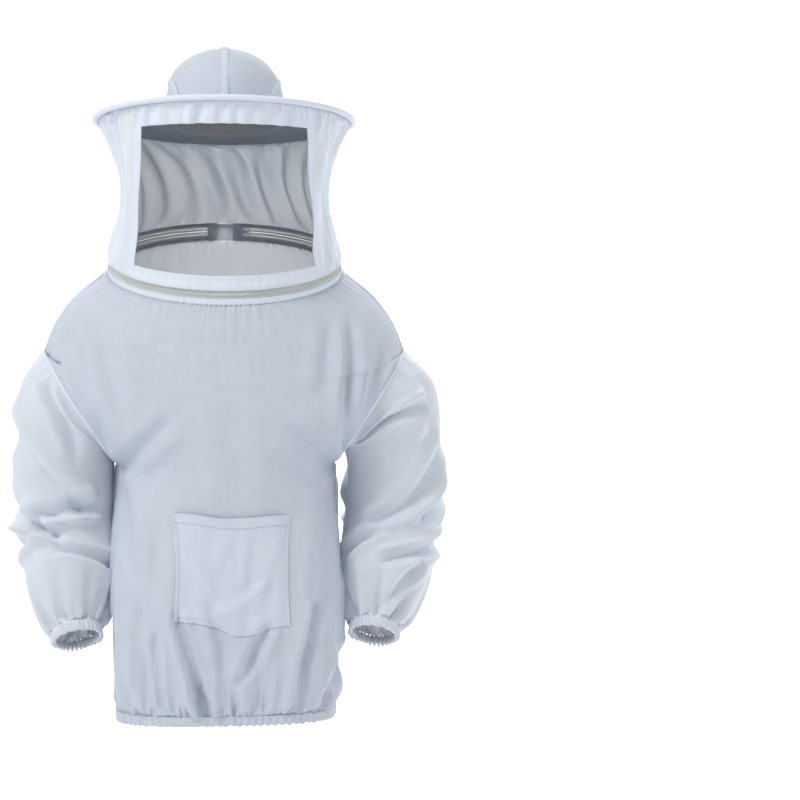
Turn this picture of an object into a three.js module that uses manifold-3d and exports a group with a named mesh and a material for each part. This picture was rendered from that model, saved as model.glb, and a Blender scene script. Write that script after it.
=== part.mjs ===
// A beekeeper's jacket with a round hat and a zip-on veil, in the shape it takes on a wearer.
// Millimetres, +Z up, the wearer faces -Y and the wearer's left is +X.
// The origin is the centre of the zip that joins the veil to the jacket.
import * as THREE from "three";
import { mergeVertices } from "three/addons/utils/BufferGeometryUtils.js";
import Module from "manifold-3d";

const wasm = await Module();
wasm.setup();

// ---------------------------------------------------------------- driving dimensions
const cloth = 1.4; // thickness of a fabric panel
const seamGap = 1.2; // between two panels that a seam joins
const fit = 0.35; // clearance between pieces that lie on each other
const tapeThickness = 0.9;

// neck zip: a circle in a plane that drops to the front
const neckRadius = 186;
const neckTilt = THREE.MathUtils.degToRad(18);
const zipEnd = 176; // degrees each way from the front
const zipTapeWidth = 11.5;
const coilHeight = 1.6;
const coilDepth = 2;
const wedgeThickness = 0.7;
const sliderLength = 11;
const sliderWidth = 9;
const sliderPlate = 1.2;
const pullLength = 24;
const pullWidth = 6.4;
const pullRim = 1.6; // metal left round the eye in the pull

// hat
const brimRadius = 202; // to the middle of the hoop
const brimCentre = new THREE.Vector3(0, -58, 217);
const brimTilt = THREE.MathUtils.degToRad(-4);
const hoopRadius = 2.4;
const stiffenerThickness = 2.2;
const headHalfWidth = 95;
const headHalfLength = 120;
const crownHeight = 108;
const crownFullness = 2.45; // 2 is a half ball, more stands fuller at the shoulders of the dome
const earPanelHalfLength = 82;
const earPanelHeight = 56;
const crownTapeWidth = 11;
const sweatbandHeight = 28;

// veil
const windowTopAngle = 38; // half the window's width, in degrees round the brim
const windowBottomAngle = 49; // and round the neck
const rearSeamTopAngle = 63;
const rearSeamBottomAngle = 73;
const windowBand = 17;
const windowTopBand = 34;
const windowBottomBand = 14;
const veilWaist = 27; // how far the veil draws in at the sides
const veilSeamWidth = 10;

// jacket body
const shoulder = new THREE.Vector3(286, -15, -142);
const armpit = new THREE.Vector3(176, -15, -321);
const armholeDepth = 100;
const bodyLength = 727; // from the origin down to the hem at the side
const hemHalfWidth = 171;
const hemHalfDepth = 136;
const hemCentreY = -50;
const hemRise = 9; // the hem is this much higher at the front and lower at the back
const sideHalfWidth = 179;
const chestFront = -188;
const bellyFront = -198;
const upperBack = 168;
const lowerBack = 148;
const squareness = 3; // superellipse exponent of the body below the arms
const elasticHeight = 11;
const elasticThickness = 1.1;
const fellWidth = 10; // width of a flat-felled seam

// sleeves
const upperArm = 200; // from the armhole to the elbow
const elbowHalfWidth = 77;
const elbowHalfDepth = 88;
const cuffRadius = 37;

const elbow = new THREE.Vector3(268, 2, -392);
const wrist = new THREE.Vector3(234, -97, -582);
const sleeveStraight = 36; // how far the sleeve runs square out of the armhole
const armholeEase = 5; // how much smaller the sleeve's head is than the armhole

// pocket
const pocketWidth = 178;
const pocketHeight = 170;
const pocketCentreX = 8;
const pocketTop = -390;
const pocketDepth = 11;
const pocketHemHeight = 14;

// ---------------------------------------------------------------- materials
const cotton = new THREE.MeshStandardMaterial({ color: 0xd9deea, roughness: 0.9, metalness: 0 });
const cottonBand = new THREE.MeshStandardMaterial({ color: 0xe3e7f3, roughness: 0.88, metalness: 0 });
const netting = new THREE.MeshStandardMaterial({ color: 0x1b1b1d, roughness: 0.7, metalness: 0 });
const zipNylon = new THREE.MeshStandardMaterial({ color: 0xe4e8e2, roughness: 0.5, metalness: 0 });
const zipMetal = new THREE.MeshStandardMaterial({ color: 0xbfc2c4, roughness: 0.3, metalness: 1 });
const elasticKnit = new THREE.MeshStandardMaterial({ color: 0xf0f0f0, roughness: 0.8, metalness: 0 });
const hoopPlastic = new THREE.MeshStandardMaterial({ color: 0xf2f2f2, roughness: 0.4, metalness: 0 });
const stiffening = new THREE.MeshStandardMaterial({ color: 0xe8e8e6, roughness: 0.85, metalness: 0 });

// ---------------------------------------------------------------- making closed solids
const steps = (from, to, count) =>
  Array.from({ length: count + 1 }, (_, i) => from + ((to - from) * i) / count);
const lerp = THREE.MathUtils.lerp;
const smooth = (t) => THREE.MathUtils.smoothstep(t, 0, 1);

// The normal of surface(u, v), from its slope on both sides of the point where it has them.
function normalAt(surface, u, v, us, vs, closed) {
  const du = (us[1] - us[0]) / 8;
  const dv = (vs[1] - vs[0]) / 8;
  const clampU = (value) => (closed ? value : THREE.MathUtils.clamp(value, us[0], us.at(-1)));
  const clampV = (value) => THREE.MathUtils.clamp(value, vs[0], vs.at(-1));
  const alongU = surface(clampU(u + du), v).sub(surface(clampU(u - du), v));
  const alongV = surface(u, clampV(v + dv)).sub(surface(u, clampV(v - dv)));
  return alongU.cross(alongV).normalize();
}

// Triangles of a closed body, turned so that they face out.
function closedBody(points, triangles) {
  const geometry = new THREE.BufferGeometry();
  const flat = points.flatMap((p) => [p.x, p.y, p.z]);
  geometry.setAttribute("position", new THREE.Float32BufferAttribute(flat, 3));
  geometry.setIndex(triangles.flat());
  const merged = mergeVertices(geometry, 1e-4);
  const index = Array.from(merged.index.array);
  const kept = [];
  for (let i = 0; i < index.length; i += 3) {
    const [a, b, c] = index.slice(i, i + 3);
    if (a !== b && b !== c && c !== a) kept.push([a, b, c]);
  }
  const at = (i) => new THREE.Vector3().fromBufferAttribute(merged.getAttribute("position"), i);
  const volume = kept.reduce((sum, [a, b, c]) => sum + at(a).dot(at(b).cross(at(c))), 0);
  merged.setIndex(kept.flatMap(([a, b, c]) => (volume < 0 ? [a, c, b] : [a, b, c])));
  return merged;
}

// A sheet of surface(u, v) as a solid between two heights above it. The heights are along the
// surface's normal, or made by raise(u, v, height) where a surface has a better way to be thickened.
function sheet(surface, us, vs, low, high, { closed = false, raise } = {}) {
  const lift =
    raise ??
    ((u, v, height) => surface(u, v).addScaledVector(normalAt(surface, u, v, us, vs, closed), height));
  const columns = closed ? us.length - 1 : us.length;
  const rows = vs.length;
  const points = [];
  for (const height of [low, high]) {
    for (let j = 0; j < rows; j++) {
      for (let i = 0; i < columns; i++) points.push(lift(us[i], vs[j], height));
    }
  }
  const id = (side, i, j) => side * columns * rows + j * columns + (i % columns);
  const triangles = [];
  const quad = (a, b, c, d) => triangles.push([a, b, c], [a, c, d]);
  const lastColumn = closed ? columns : columns - 1;
  for (let j = 0; j < rows - 1; j++) {
    for (let i = 0; i < lastColumn; i++) {
      quad(id(0, i, j), id(0, i, j + 1), id(0, i + 1, j + 1), id(0, i + 1, j));
      quad(id(1, i, j), id(1, i + 1, j), id(1, i + 1, j + 1), id(1, i, j + 1));
    }
  }
  for (let i = 0; i < lastColumn; i++) {
    quad(id(0, i, 0), id(0, i + 1, 0), id(1, i + 1, 0), id(1, i, 0));
    quad(id(0, i, rows - 1), id(1, i, rows - 1), id(1, i + 1, rows - 1), id(0, i + 1, rows - 1));
  }
  if (!closed) {
    const end = columns - 1;
    for (let j = 0; j < rows - 1; j++) {
      quad(id(0, 0, j), id(1, 0, j), id(1, 0, j + 1), id(0, 0, j + 1));
      quad(id(0, end, j), id(0, end, j + 1), id(1, end, j + 1), id(1, end, j));
    }
  }
  return closedBody(points, triangles);
}

function solidOf(geometry) {
  const bare = geometry.clone();
  bare.deleteAttribute("normal");
  bare.deleteAttribute("uv");
  const merged = mergeVertices(bare, 1e-4);
  return new wasm.Manifold(
    new wasm.Mesh({
      numProp: 3,
      vertProperties: merged.getAttribute("position").array,
      triVerts: new Uint32Array(merged.index.array),
    }),
  );
}

function geometryOf(solid) {
  const made = solid.getMesh();
  const geometry = new THREE.BufferGeometry();
  geometry.setAttribute("position", new THREE.BufferAttribute(made.vertProperties, 3));
  geometry.setIndex(new THREE.BufferAttribute(made.triVerts, 1));
  return geometry;
}

const cut = (geometry, ...tools) =>
  geometryOf(tools.reduce((solid, tool) => solid.subtract(solidOf(tool)), solidOf(geometry)));
const join = (geometry, ...others) =>
  geometryOf(others.reduce((solid, other) => solid.add(solidOf(other)), solidOf(geometry)));

function block(x0, x1, y0, y1, z0, z1) {
  const box = new THREE.BoxGeometry(x1 - x0, y1 - y0, z1 - z0);
  return box.translate((x0 + x1) / 2, (y0 + y1) / 2, (z0 + z1) / 2);
}

// A point at a radius and an angle from the front, in degrees, positive towards the wearer's left.
function polar(radius, degrees, z = 0, radiusY = radius) {
  const a = THREE.MathUtils.degToRad(degrees);
  return new THREE.Vector3(radius * Math.sin(a), -radiusY * Math.cos(a), z);
}

const suit = new THREE.Group();
const neckFrame = new THREE.Group();
neckFrame.rotation.x = neckTilt;
const brimFrame = new THREE.Group();
brimFrame.position.copy(brimCentre);
brimFrame.rotation.x = brimTilt;
suit.add(neckFrame, brimFrame);
suit.updateMatrixWorld(true);

function piece(name, geometry, material, frame = suit) {
  const mesh = new THREE.Mesh(geometry, material);
  mesh.name = name;
  frame.add(mesh);
  return mesh;
}

const neckPoint = (degrees, height, radius = neckRadius) =>
  polar(radius, degrees, height).applyMatrix4(neckFrame.matrixWorld);
const brimPoint = (degrees, height, radius) =>
  polar(radius, degrees, height).applyMatrix4(brimFrame.matrixWorld);

// ---------------------------------------------------------------- neck zip
const coilLow = wedgeThickness / 2 + fit;
const coilHigh = coilLow + coilHeight;
const tapeNear = coilHigh + fit;
const tapeFar = tapeNear + zipTapeWidth;
const bindingHeight = 7;

function neckBand(degreesFrom, degreesTo, zFrom, zTo, rIn, rOut, count) {
  return sheet(
    (u, v) => polar(rIn, u, v),
    steps(degreesFrom, degreesTo, count),
    [zFrom, zTo],
    0,
    rOut - rIn,
    { raise: (u, v, height) => polar(rIn + height, u, v) },
  );
}

for (const [side, sign] of [["upper", 1], ["lower", -1]]) {
  const range = (near, far) => (sign > 0 ? [near, far] : [-far, -near]);
  const arc = (near, far, rIn, rOut) => neckBand(-zipEnd, zipEnd, ...range(near, far), rIn, rOut, 72);
  piece(
    "zip_tape_" + side,
    arc(tapeNear, tapeFar, neckRadius - tapeThickness / 2, neckRadius + tapeThickness / 2),
    zipNylon,
    neckFrame,
  );
  piece(
    "zip_coil_" + side,
    arc(coilLow, coilHigh, neckRadius - coilDepth / 2, neckRadius + coilDepth / 2),
    zipNylon,
    neckFrame,
  );
}

// The end fittings: a stop on each tape where the closed zip ends, and the pin that enters the box.
const stopLength = 1.6;
const fittingGrip = tapeThickness / 2 + fit + 1.1;
function endFitting(name, degrees, sign, length, reach) {
  const half = fittingGrip;
  const [low, high] = sign > 0 ? [fit, reach] : [-reach, -fit];
  const body = block(-length / 2, length / 2, -half, half, low, high);
  const slot = block(
    -length,
    length,
    -tapeThickness / 2 - fit,
    tapeThickness / 2 + fit,
    sign > 0 ? coilLow + 0.6 : -reach - 1,
    sign > 0 ? reach + 1 : -coilLow - 0.6,
  );
  const mesh = piece(name, cut(body, slot), zipMetal, neckFrame);
  mesh.position.copy(polar(neckRadius, degrees));
  mesh.rotation.z = THREE.MathUtils.degToRad(degrees);
}
const fittingReach = coilHigh + fit + 1.5;
const fittingAngle = zipEnd + THREE.MathUtils.radToDeg((stopLength / 2 + fit + 1) / neckRadius);
endFitting("zip_stop_upper", fittingAngle, 1, stopLength, fittingReach);
endFitting("zip_stop_lower", fittingAngle, -1, stopLength, fittingReach);
endFitting("zip_insert_pin", -fittingAngle, 1, stopLength, fittingReach + 2);
endFitting("zip_retainer_box", -fittingAngle, -1, stopLength, fittingReach + 2);

// The slider: two plates on a thin wedge. Lips hold the lower coil, and the upper side is open.
const sliderAngle = zipEnd - THREE.MathUtils.radToDeg((sliderLength / 2 + 1) / neckRadius);
const plateNear = coilDepth / 2 + fit;
const plateFar = plateNear + sliderPlate;
const lipDepth = plateNear - tapeThickness / 2 - fit;
const archSpan = 7.2;
const archFoot = 1.2;
const archClear = 2.4;
const archWidth = 1.6;
function sliderBody() {
  const half = sliderLength / 2;
  const lipTop = -coilHigh - fit;
  const plates = [plateNear, -plateFar].map((y) =>
    block(-half, half, y, y + sliderPlate, -sliderWidth / 2, sliderWidth / 2),
  );
  const lips = [plateNear - lipDepth, -plateNear].map((y) =>
    block(-half, half, y - 0.05, y + lipDepth + 0.05, -sliderWidth / 2, lipTop),
  );
  const thin = wedgeThickness / 2;
  const wedge = block(-half, -half + 3, -plateNear - 0.1, plateNear + 0.1, -thin, thin);
  const reach = archSpan / 2;
  const archTop = -plateFar - archClear;
  const arch = cut(
    block(-reach, reach, archTop - archFoot, -plateFar + 0.1, -archWidth / 2, archWidth / 2),
    block(-reach + archFoot, reach - archFoot, archTop, -plateFar + 1, -5, 5),
  );
  return join(plates[0], plates[1], ...lips, wedge, arch);
}
const sliderPlace = polar(neckRadius, sliderAngle);
const sliderTurn = THREE.MathUtils.degToRad(sliderAngle);
const slider = piece("zip_slider", sliderBody(), zipMetal, neckFrame);
slider.position.copy(sliderPlace);
slider.rotation.z = sliderTurn;

// The pull: a cross-bar under the arch, two arms, and a tab with a round-ended eye.
const pullThickness = 1.2;
const pullAxis = plateFar + archClear / 2;
const pullNeck = Math.hypot(archSpan / 2, archClear / 2 + archFoot) + fit; // where the tab starts
function pullBody() {
  const t = pullThickness / 2;
  const inner = archWidth / 2 + 0.6;
  const tab = new THREE.Shape();
  const w = pullWidth / 2;
  tab.moveTo(-pullNeck, w);
  tab.lineTo(w - pullLength, w);
  tab.absarc(w - pullLength, 0, w, Math.PI / 2, 1.5 * Math.PI);
  tab.lineTo(-pullNeck, -w);
  tab.closePath();
  const eye = new THREE.Path();
  eye.absarc(w - pullLength, 0, w - pullRim, 0, 2 * Math.PI, true);
  tab.holes.push(eye);
  const cast = { depth: pullThickness, bevelEnabled: false, curveSegments: 6 };
  const plate = new THREE.ExtrudeGeometry(tab, cast)
    .rotateX(Math.PI / 2)
    .translate(0, -pullAxis + t, 0);
  const arms = [-w, inner].map((z) =>
    block(-pullNeck - 0.4, t, -pullAxis - t, -pullAxis + t, z, z + w - inner),
  );
  const bar = block(-t, t, -pullAxis - t, -pullAxis + t, -w, w);
  return join(plate, ...arms, bar);
}
const pull = piece("zip_pull", pullBody(), zipMetal, neckFrame);
pull.position.copy(sliderPlace);
pull.rotation.z = sliderTurn;

piece(
  "neck_binding",
  neckBand(
    -zipEnd,
    zipEnd,
    -tapeFar,
    -tapeFar + bindingHeight,
    neckRadius + tapeThickness / 2 + fit,
    neckRadius + tapeThickness / 2 + fit + cloth,
    60,
  ),
  cottonBand,
  neckFrame,
);

// ---------------------------------------------------------------- jacket body
const panelStart = tapeFar + seamGap; // below the zip's middle plane
const hemTop = bodyLength - elasticHeight - 4;
const armholeCentre = shoulder.clone().add(armpit).multiplyScalar(0.5);
const armholeUp = shoulder.clone().sub(armpit).normalize();
const armholeHalf = shoulder.distanceTo(armpit) / 2;
const armholeOut = new THREE.Vector3(armholeUp.z, 0, -armholeUp.x);

// Three lines run down the body through six levels: neck, shoulder tip, armpit, waist, hip and hem.
const through = (...points) => new THREE.CatmullRomCurve3(points, false, "centripetal");
const level = (share) => lerp(armpit.z, -hemTop, share);
const frontLine = through(
  neckPoint(0, -panelStart),
  new THREE.Vector3(0, chestFront, shoulder.z - 52),
  new THREE.Vector3(0, bellyFront + 2, armpit.z - 25),
  new THREE.Vector3(0, bellyFront - 2, level(0.5)),
  new THREE.Vector3(0, bellyFront, level(0.82)),
  new THREE.Vector3(0, hemCentreY - hemHalfDepth, -hemTop + hemRise),
);
const backLine = through(
  neckPoint(180, -panelStart),
  new THREE.Vector3(0, upperBack, shoulder.z - 30),
  new THREE.Vector3(0, lowerBack + 2, armpit.z - 10),
  new THREE.Vector3(0, lowerBack, level(0.5)),
  new THREE.Vector3(0, lowerBack - 6, level(0.82)),
  new THREE.Vector3(0, hemCentreY + hemHalfDepth, -hemTop - hemRise),
);
const neckSide = neckPoint(90, -panelStart);
const shoulderLine = through(
  neckSide,
  neckSide.clone().lerp(shoulder, 0.42).add(new THREE.Vector3(10, 0, 12)),
  neckSide.clone().lerp(shoulder, 0.75).add(new THREE.Vector3(9, 0, 10)),
  shoulder,
);
const sideLine = through(
  armpit,
  new THREE.Vector3(sideHalfWidth, -28, level(0.35)),
  new THREE.Vector3(sideHalfWidth, -40, level(0.75)),
  new THREE.Vector3(hemHalfWidth, hemCentreY, -hemTop),
);

// The panel's edge at a level: along the shoulder, round the armhole, and down the side.
function edgeAt(v, facing) {
  if (v <= 1) return shoulderLine.getPoint(v);
  if (v >= 2) return sideLine.getPoint((v - 2) / 3);
  const turn = (v - 1) * Math.PI;
  return armholeCentre
    .clone()
    .addScaledVector(armholeUp, armholeHalf * Math.cos(turn))
    .add(new THREE.Vector3(0, facing * armholeDepth * Math.sin(turn), 0));
}

// A point of the front (facing -1) or back (facing 1) panel: u runs from edge to edge, -1 to 1.
function bodyPoint(u, v, facing) {
  const middle = (facing < 0 ? frontLine : backLine).getPoint(v / 5);
  const edge = edgeAt(v, facing);
  const power = v <= 2 ? 2 : lerp(2, squareness, smooth((v - 2) / 1.2));
  const sideY = v > 1 && v < 2 ? armpit.y : edge.y;
  const cosEdge = (edge.y - sideY) / (middle.y - sideY);
  const sinEdge = (1 - cosEdge ** power) ** (1 / power);
  const angle = Math.abs(u) * Math.atan2(sinEdge, cosEdge);
  const size = (Math.sin(angle) ** power + Math.abs(Math.cos(angle)) ** power) ** (1 / power);
  const s = Math.sin(angle) / size;
  const c = Math.cos(angle) / size;
  const drop = (1 - c) / (1 - cosEdge);
  return new THREE.Vector3(
    (Math.sign(u) * edge.x * s) / sinEdge,
    sideY + (middle.y - sideY) * c,
    lerp(middle.z, edge.z, drop),
  );
}

const panelRows = [
  0, 0.2, 0.45, 0.7, 0.97, 1.06, 1.2, 1.4, 1.6, 1.8, 1.91, 1.98, 2.03, 2.35, 2.9, 3.4, 3.9, 4.35, 4.7, 5,
];
const panelColumns = steps(-1, 1, 16);
// Panels stop short of the seam line by half the gap, so a point at the edge is moved in along x.
const insetBody = (facing) => (u, v) => {
  const p = bodyPoint(u, v, facing);
  p.addScaledVector(new THREE.Vector3(-Math.sign(u), 0, 0), Math.abs(u) ** 8 * 0.2);
  p.y += facing * Math.abs(u) ** 8 * seamGap * 0.5 * (v < 1 || v > 2 ? 1 : 0);
  return p;
};
piece("front_panel", sheet(insetBody(-1), panelColumns, panelRows, -cloth / 2, cloth / 2), cotton);
piece("back_panel", sheet(insetBody(1), panelColumns, panelRows, -cloth / 2, cloth / 2), cotton);

// A strip of the body's surface that straddles the seam between the front and back panels.
function acrossSeam(side, across, v) {
  const facing = across < 0 ? -1 : 1;
  const near = 0.97;
  const reach = bodyPoint(1, v, facing).distanceTo(bodyPoint(near, v, facing)) / (1 - near);
  return bodyPoint(side * (1 - Math.abs(across) / reach), v, facing);
}
const onCloth = cloth / 2 + fit;
const sides = [["left", 1], ["right", -1]];
const seamAcross = steps(-fellWidth / 2, fellWidth / 2, 4);
for (const [name, side] of sides) {
  const strip = (rows) =>
    sheet((u, v) => acrossSeam(side, -side * u, v), seamAcross, rows, onCloth, onCloth + tapeThickness);
  piece("shoulder_seam_" + name, strip(steps(0.06, 0.95, 6)), cottonBand);
  piece("side_seam_" + name, strip(steps(2.15, 4.97, 10)), cottonBand);
}

// A closed section carried round a closed line: place(angle, out, height) gives its points.
function sweepRing(place, section, count) {
  const angles = steps(0, 360, count).slice(0, -1);
  const points = angles.flatMap((angle) => section.map(([out, height]) => place(angle, out, height)));
  const corners = section.length;
  const id = (i, j) => (i % count) * corners + (j % corners);
  const triangles = [];
  for (let i = 0; i < count; i++) {
    for (let j = 0; j < corners; j++) {
      const [a, b, c, d] = [id(i, j), id(i + 1, j), id(i + 1, j + 1), id(i, j + 1)];
      triangles.push([a, b, c], [a, c, d]);
    }
  }
  return closedBody(points, triangles);
}

// A folded casing, open at the top where it is sewn to the cloth, and the elastic that runs in it.
const casingInner = elasticThickness / 2 + fit;
const casingOuter = casingInner + cloth;
const casingHeight = cloth + elasticHeight + 2 * fit;
const casingSection = [
  [-casingOuter, 0],
  [casingOuter, 0],
  [casingOuter, casingHeight],
  [casingInner, casingHeight],
  [casingInner, cloth],
  [-casingInner, cloth],
  [-casingInner, casingHeight],
  [-casingOuter, casingHeight],
];
const elasticLow = cloth + fit;
const elasticSection = [
  [-elasticThickness / 2, elasticLow],
  [elasticThickness / 2, elasticLow],
  [elasticThickness / 2, elasticLow + elasticHeight],
  [-elasticThickness / 2, elasticLow + elasticHeight],
];

// ---------------------------------------------------------------- hem
const hemBottom = -hemTop - seamGap - casingHeight;
function hemPlace(degrees, out, height) {
  const a = THREE.MathUtils.degToRad(degrees);
  const [s, c] = [Math.sin(a), Math.cos(a)];
  const size = (Math.abs(s) ** squareness + Math.abs(c) ** squareness) ** (1 / squareness);
  const slope = new THREE.Vector2(
    (Math.sign(s) * (Math.abs(s) / size) ** (squareness - 1)) / hemHalfWidth,
    (-Math.sign(c) * (Math.abs(c) / size) ** (squareness - 1)) / hemHalfDepth,
  ).normalize();
  return new THREE.Vector3(
    (hemHalfWidth * s) / size + out * slope.x,
    hemCentreY - (hemHalfDepth * c) / size + out * slope.y,
    hemBottom + (hemRise * c) / size + height,
  );
}
piece("hem_casing", sweepRing(hemPlace, casingSection, 40), cottonBand);
piece("hem_elastic", sweepRing(hemPlace, elasticSection, 40), elasticKnit);

// ---------------------------------------------------------------- sleeves
// The arm's line leaves the armhole square to it, turns down to the elbow and forward to the wrist.
const sleeveLine = through(
  armholeCentre,
  armholeCentre.clone().addScaledVector(armholeOut, sleeveStraight),
  elbow,
  elbow.clone().lerp(wrist, 0.5).add(new THREE.Vector3(4, 12, 0)),
  wrist,
);
const cuffUp = sleeveLine.getTangent(1).negate();
const cuffAcross = new THREE.Vector3(1, 0, 0);
const cuffBack = cuffUp.clone().cross(cuffAcross).normalize();
cuffAcross.crossVectors(cuffBack, cuffUp);

// The sleeve's sections turn evenly from the armhole's plane to level, and then square to the wrist.
const shareAtElbow = 0.5;
const armholeLean = Math.atan2(armholeUp.z, armholeUp.x);
function sleevePoint(side, degrees, t) {
  const a = THREE.MathUtils.degToRad(degrees);
  const lean = armholeLean * (1 - Math.min(1, t / (shareAtElbow * 1.15)));
  const settle = smooth((t - shareAtElbow * 0.9) / (1 - shareAtElbow * 0.9));
  const across = new THREE.Vector3(Math.cos(lean), 0, Math.sin(lean)).lerp(cuffAcross, settle).normalize();
  const along = new THREE.Vector3(0, 1, 0).lerp(cuffBack, settle).normalize();
  const reach = smooth(t / shareAtElbow);
  const taper = smooth((t - shareAtElbow) / (1 - shareAtElbow)) ** 3;
  const swell = (start, middle) =>
    t < shareAtElbow ? lerp(start, middle, reach) : lerp(middle, cuffRadius, taper);
  const p = sleeveLine.getPoint(t);
  p.addScaledVector(across, swell(armholeHalf - armholeEase, elbowHalfWidth) * Math.cos(a));
  p.addScaledVector(along, swell(armholeDepth - armholeEase, elbowHalfDepth) * Math.sin(a));
  p.x *= side;
  return p;
}

const armholeGap = 9; // from the armhole's plane to where the sleeve's cloth starts
const sleeveStart = armholeGap / (2 * upperArm);
const sleeveRows = 14;
const onSleeve = cloth / 2 + 2 * fit;
function cuffPlace(side) {
  return (degrees, out, height) => {
    const a = THREE.MathUtils.degToRad(degrees);
    const p = wrist
      .clone()
      .addScaledVector(cuffUp, height - casingHeight - seamGap)
      .addScaledVector(cuffAcross, (cuffRadius + out) * Math.cos(a))
      .addScaledVector(cuffBack, (cuffRadius + out) * Math.sin(a));
    p.x *= side;
    return p;
  };
}
for (const [name, side] of sides) {
  const tube = (u, v) => sleevePoint(side, u, v);
  const around = steps(0, 360, 24);
  const rows = steps(sleeveStart, 1, sleeveRows);
  piece("sleeve_" + name, sheet(tube, around, rows, -cloth / 2, cloth / 2, { closed: true }), cotton);
  piece("cuff_casing_" + name, sweepRing(cuffPlace(side), casingSection, 24), cottonBand);
  piece("cuff_elastic_" + name, sweepRing(cuffPlace(side), elasticSection, 24), elasticKnit);
  const [near, far] = [side * onSleeve, side * (onSleeve + tapeThickness)];
  piece(
    "armhole_seam_" + name,
    sheet(tube, around, rows.slice(0, 2), near, far, { closed: true }),
    cottonBand,
  );
}

// ---------------------------------------------------------------- pocket
// The place on the front panel at a given x and z.
function frontAt(x, z) {
  const bisect = (tooFar, low, high) => {
    let [a, b] = [low, high];
    for (let i = 0; i < 26; i++) {
      const middle = (a + b) / 2;
      if (tooFar(middle)) b = middle;
      else a = middle;
    }
    return (a + b) / 2;
  };
  let [u, v] = [0, 3];
  for (let round = 0; round < 5; round++) {
    v = bisect((value) => bodyPoint(u, value, -1).z < z, 1.5, 5);
    u = bisect((value) => bodyPoint(value, v, -1).x > x, -0.98, 0.98);
  }
  return bodyPoint(u, v, -1);
}
const outFromFront = (x, z, height) => frontAt(x, z).add(new THREE.Vector3(0, -height, 0));
function frontBlock(x0, x1, z0, z1, near, far) {
  return sheet(frontAt, steps(x0, x1, 9), steps(z0, z1, 6), near, far, { raise: outFromFront });
}
const pocketLeft = pocketCentreX - pocketWidth / 2;
const pocketRight = pocketCentreX + pocketWidth / 2;
const pocketBottom = pocketTop - pocketHeight;
const pocketFoot = cloth / 2 + 2 * fit;
const [innerLeft, innerRight] = [pocketLeft + cloth, pocketRight - cloth];
piece(
  "pocket",
  cut(
    frontBlock(pocketLeft, pocketRight, pocketTop, pocketBottom, pocketFoot, pocketDepth + cloth),
    frontBlock(innerLeft, innerRight, pocketTop + cloth, pocketBottom + cloth, 0, pocketDepth),
  ),
  cotton,
);
piece(
  "pocket_hem",
  frontBlock(
    pocketLeft,
    pocketRight,
    pocketTop,
    pocketTop - pocketHemHeight,
    pocketDepth + cloth + fit,
    pocketDepth + cloth + fit + tapeThickness,
  ),
  cottonBand,
);

// ---------------------------------------------------------------- brim
const brimFace = stiffenerThickness / 2 + fit;
const brimEdge = brimRadius - hoopRadius - fit - cloth - fit;
const headAt = (degrees, out, height) => polar(headHalfWidth + out, degrees, height, headHalfLength + out);
function brimRing(low, high, headOut, edge) {
  const ring = (degrees, share) => headAt(degrees, headOut, 0).lerp(polar(edge, degrees), share);
  const raise = (degrees, share, height) => ring(degrees, share).add(new THREE.Vector3(0, 0, height));
  return sheet(ring, steps(0, 360, 48), [0, 1], low, high, { closed: true, raise });
}
const headHole = -3; // the brim reaches this far in under the crown's wall
const board = brimRing(-brimFace + fit, brimFace - fit, headHole, brimEdge);
piece("brim_stiffener", board, stiffening, brimFrame);
piece("brim_upper_cover", brimRing(brimFace, brimFace + cloth, headHole, brimEdge), cotton, brimFrame);
piece("brim_lower_cover", brimRing(-brimFace - cloth, -brimFace, headHole, brimEdge), cotton, brimFrame);
const rimPlace = (degrees, out, height) => polar(brimRadius + out, degrees, height);
const roundSection = (radius, from, to, count) =>
  steps(from, to, count).map((degrees) => {
    const a = THREE.MathUtils.degToRad(degrees);
    return [radius * Math.cos(a), radius * Math.sin(a)];
  });
const bindingOpen = 42; // half the angle, in degrees, where the rim binding lets the covers in
piece("brim_hoop", sweepRing(rimPlace, roundSection(hoopRadius, 0, 300, 5), 48), hoopPlastic, brimFrame);
piece(
  "brim_rim_binding",
  sweepRing(
    rimPlace,
    [
      ...roundSection(hoopRadius + fit + cloth, bindingOpen - 180, 180 - bindingOpen, 5),
      ...roundSection(hoopRadius + fit, 180 - bindingOpen, bindingOpen - 180, 5),
    ],
    48,
  ),
  cottonBand,
  brimFrame,
);

// ---------------------------------------------------------------- crown
// A dome, as a unit half-sphere swelled and stretched over the head: forward and up are shares of it.
const crownBase = brimFace + cloth + fit;
function domePoint(forward, up, side, height = 0) {
  const out = Math.sqrt(Math.max(0, 1 - forward ** 2 - up ** 2));
  const level = Math.hypot(forward, out);
  const swell = (level ** crownFullness + up ** crownFullness) ** (-1 / crownFullness);
  return new THREE.Vector3(
    side * (headHalfWidth + height) * out * swell,
    -(headHalfLength + height) * forward * swell,
    crownBase + (crownHeight + height) * up * swell,
  );
}
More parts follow.
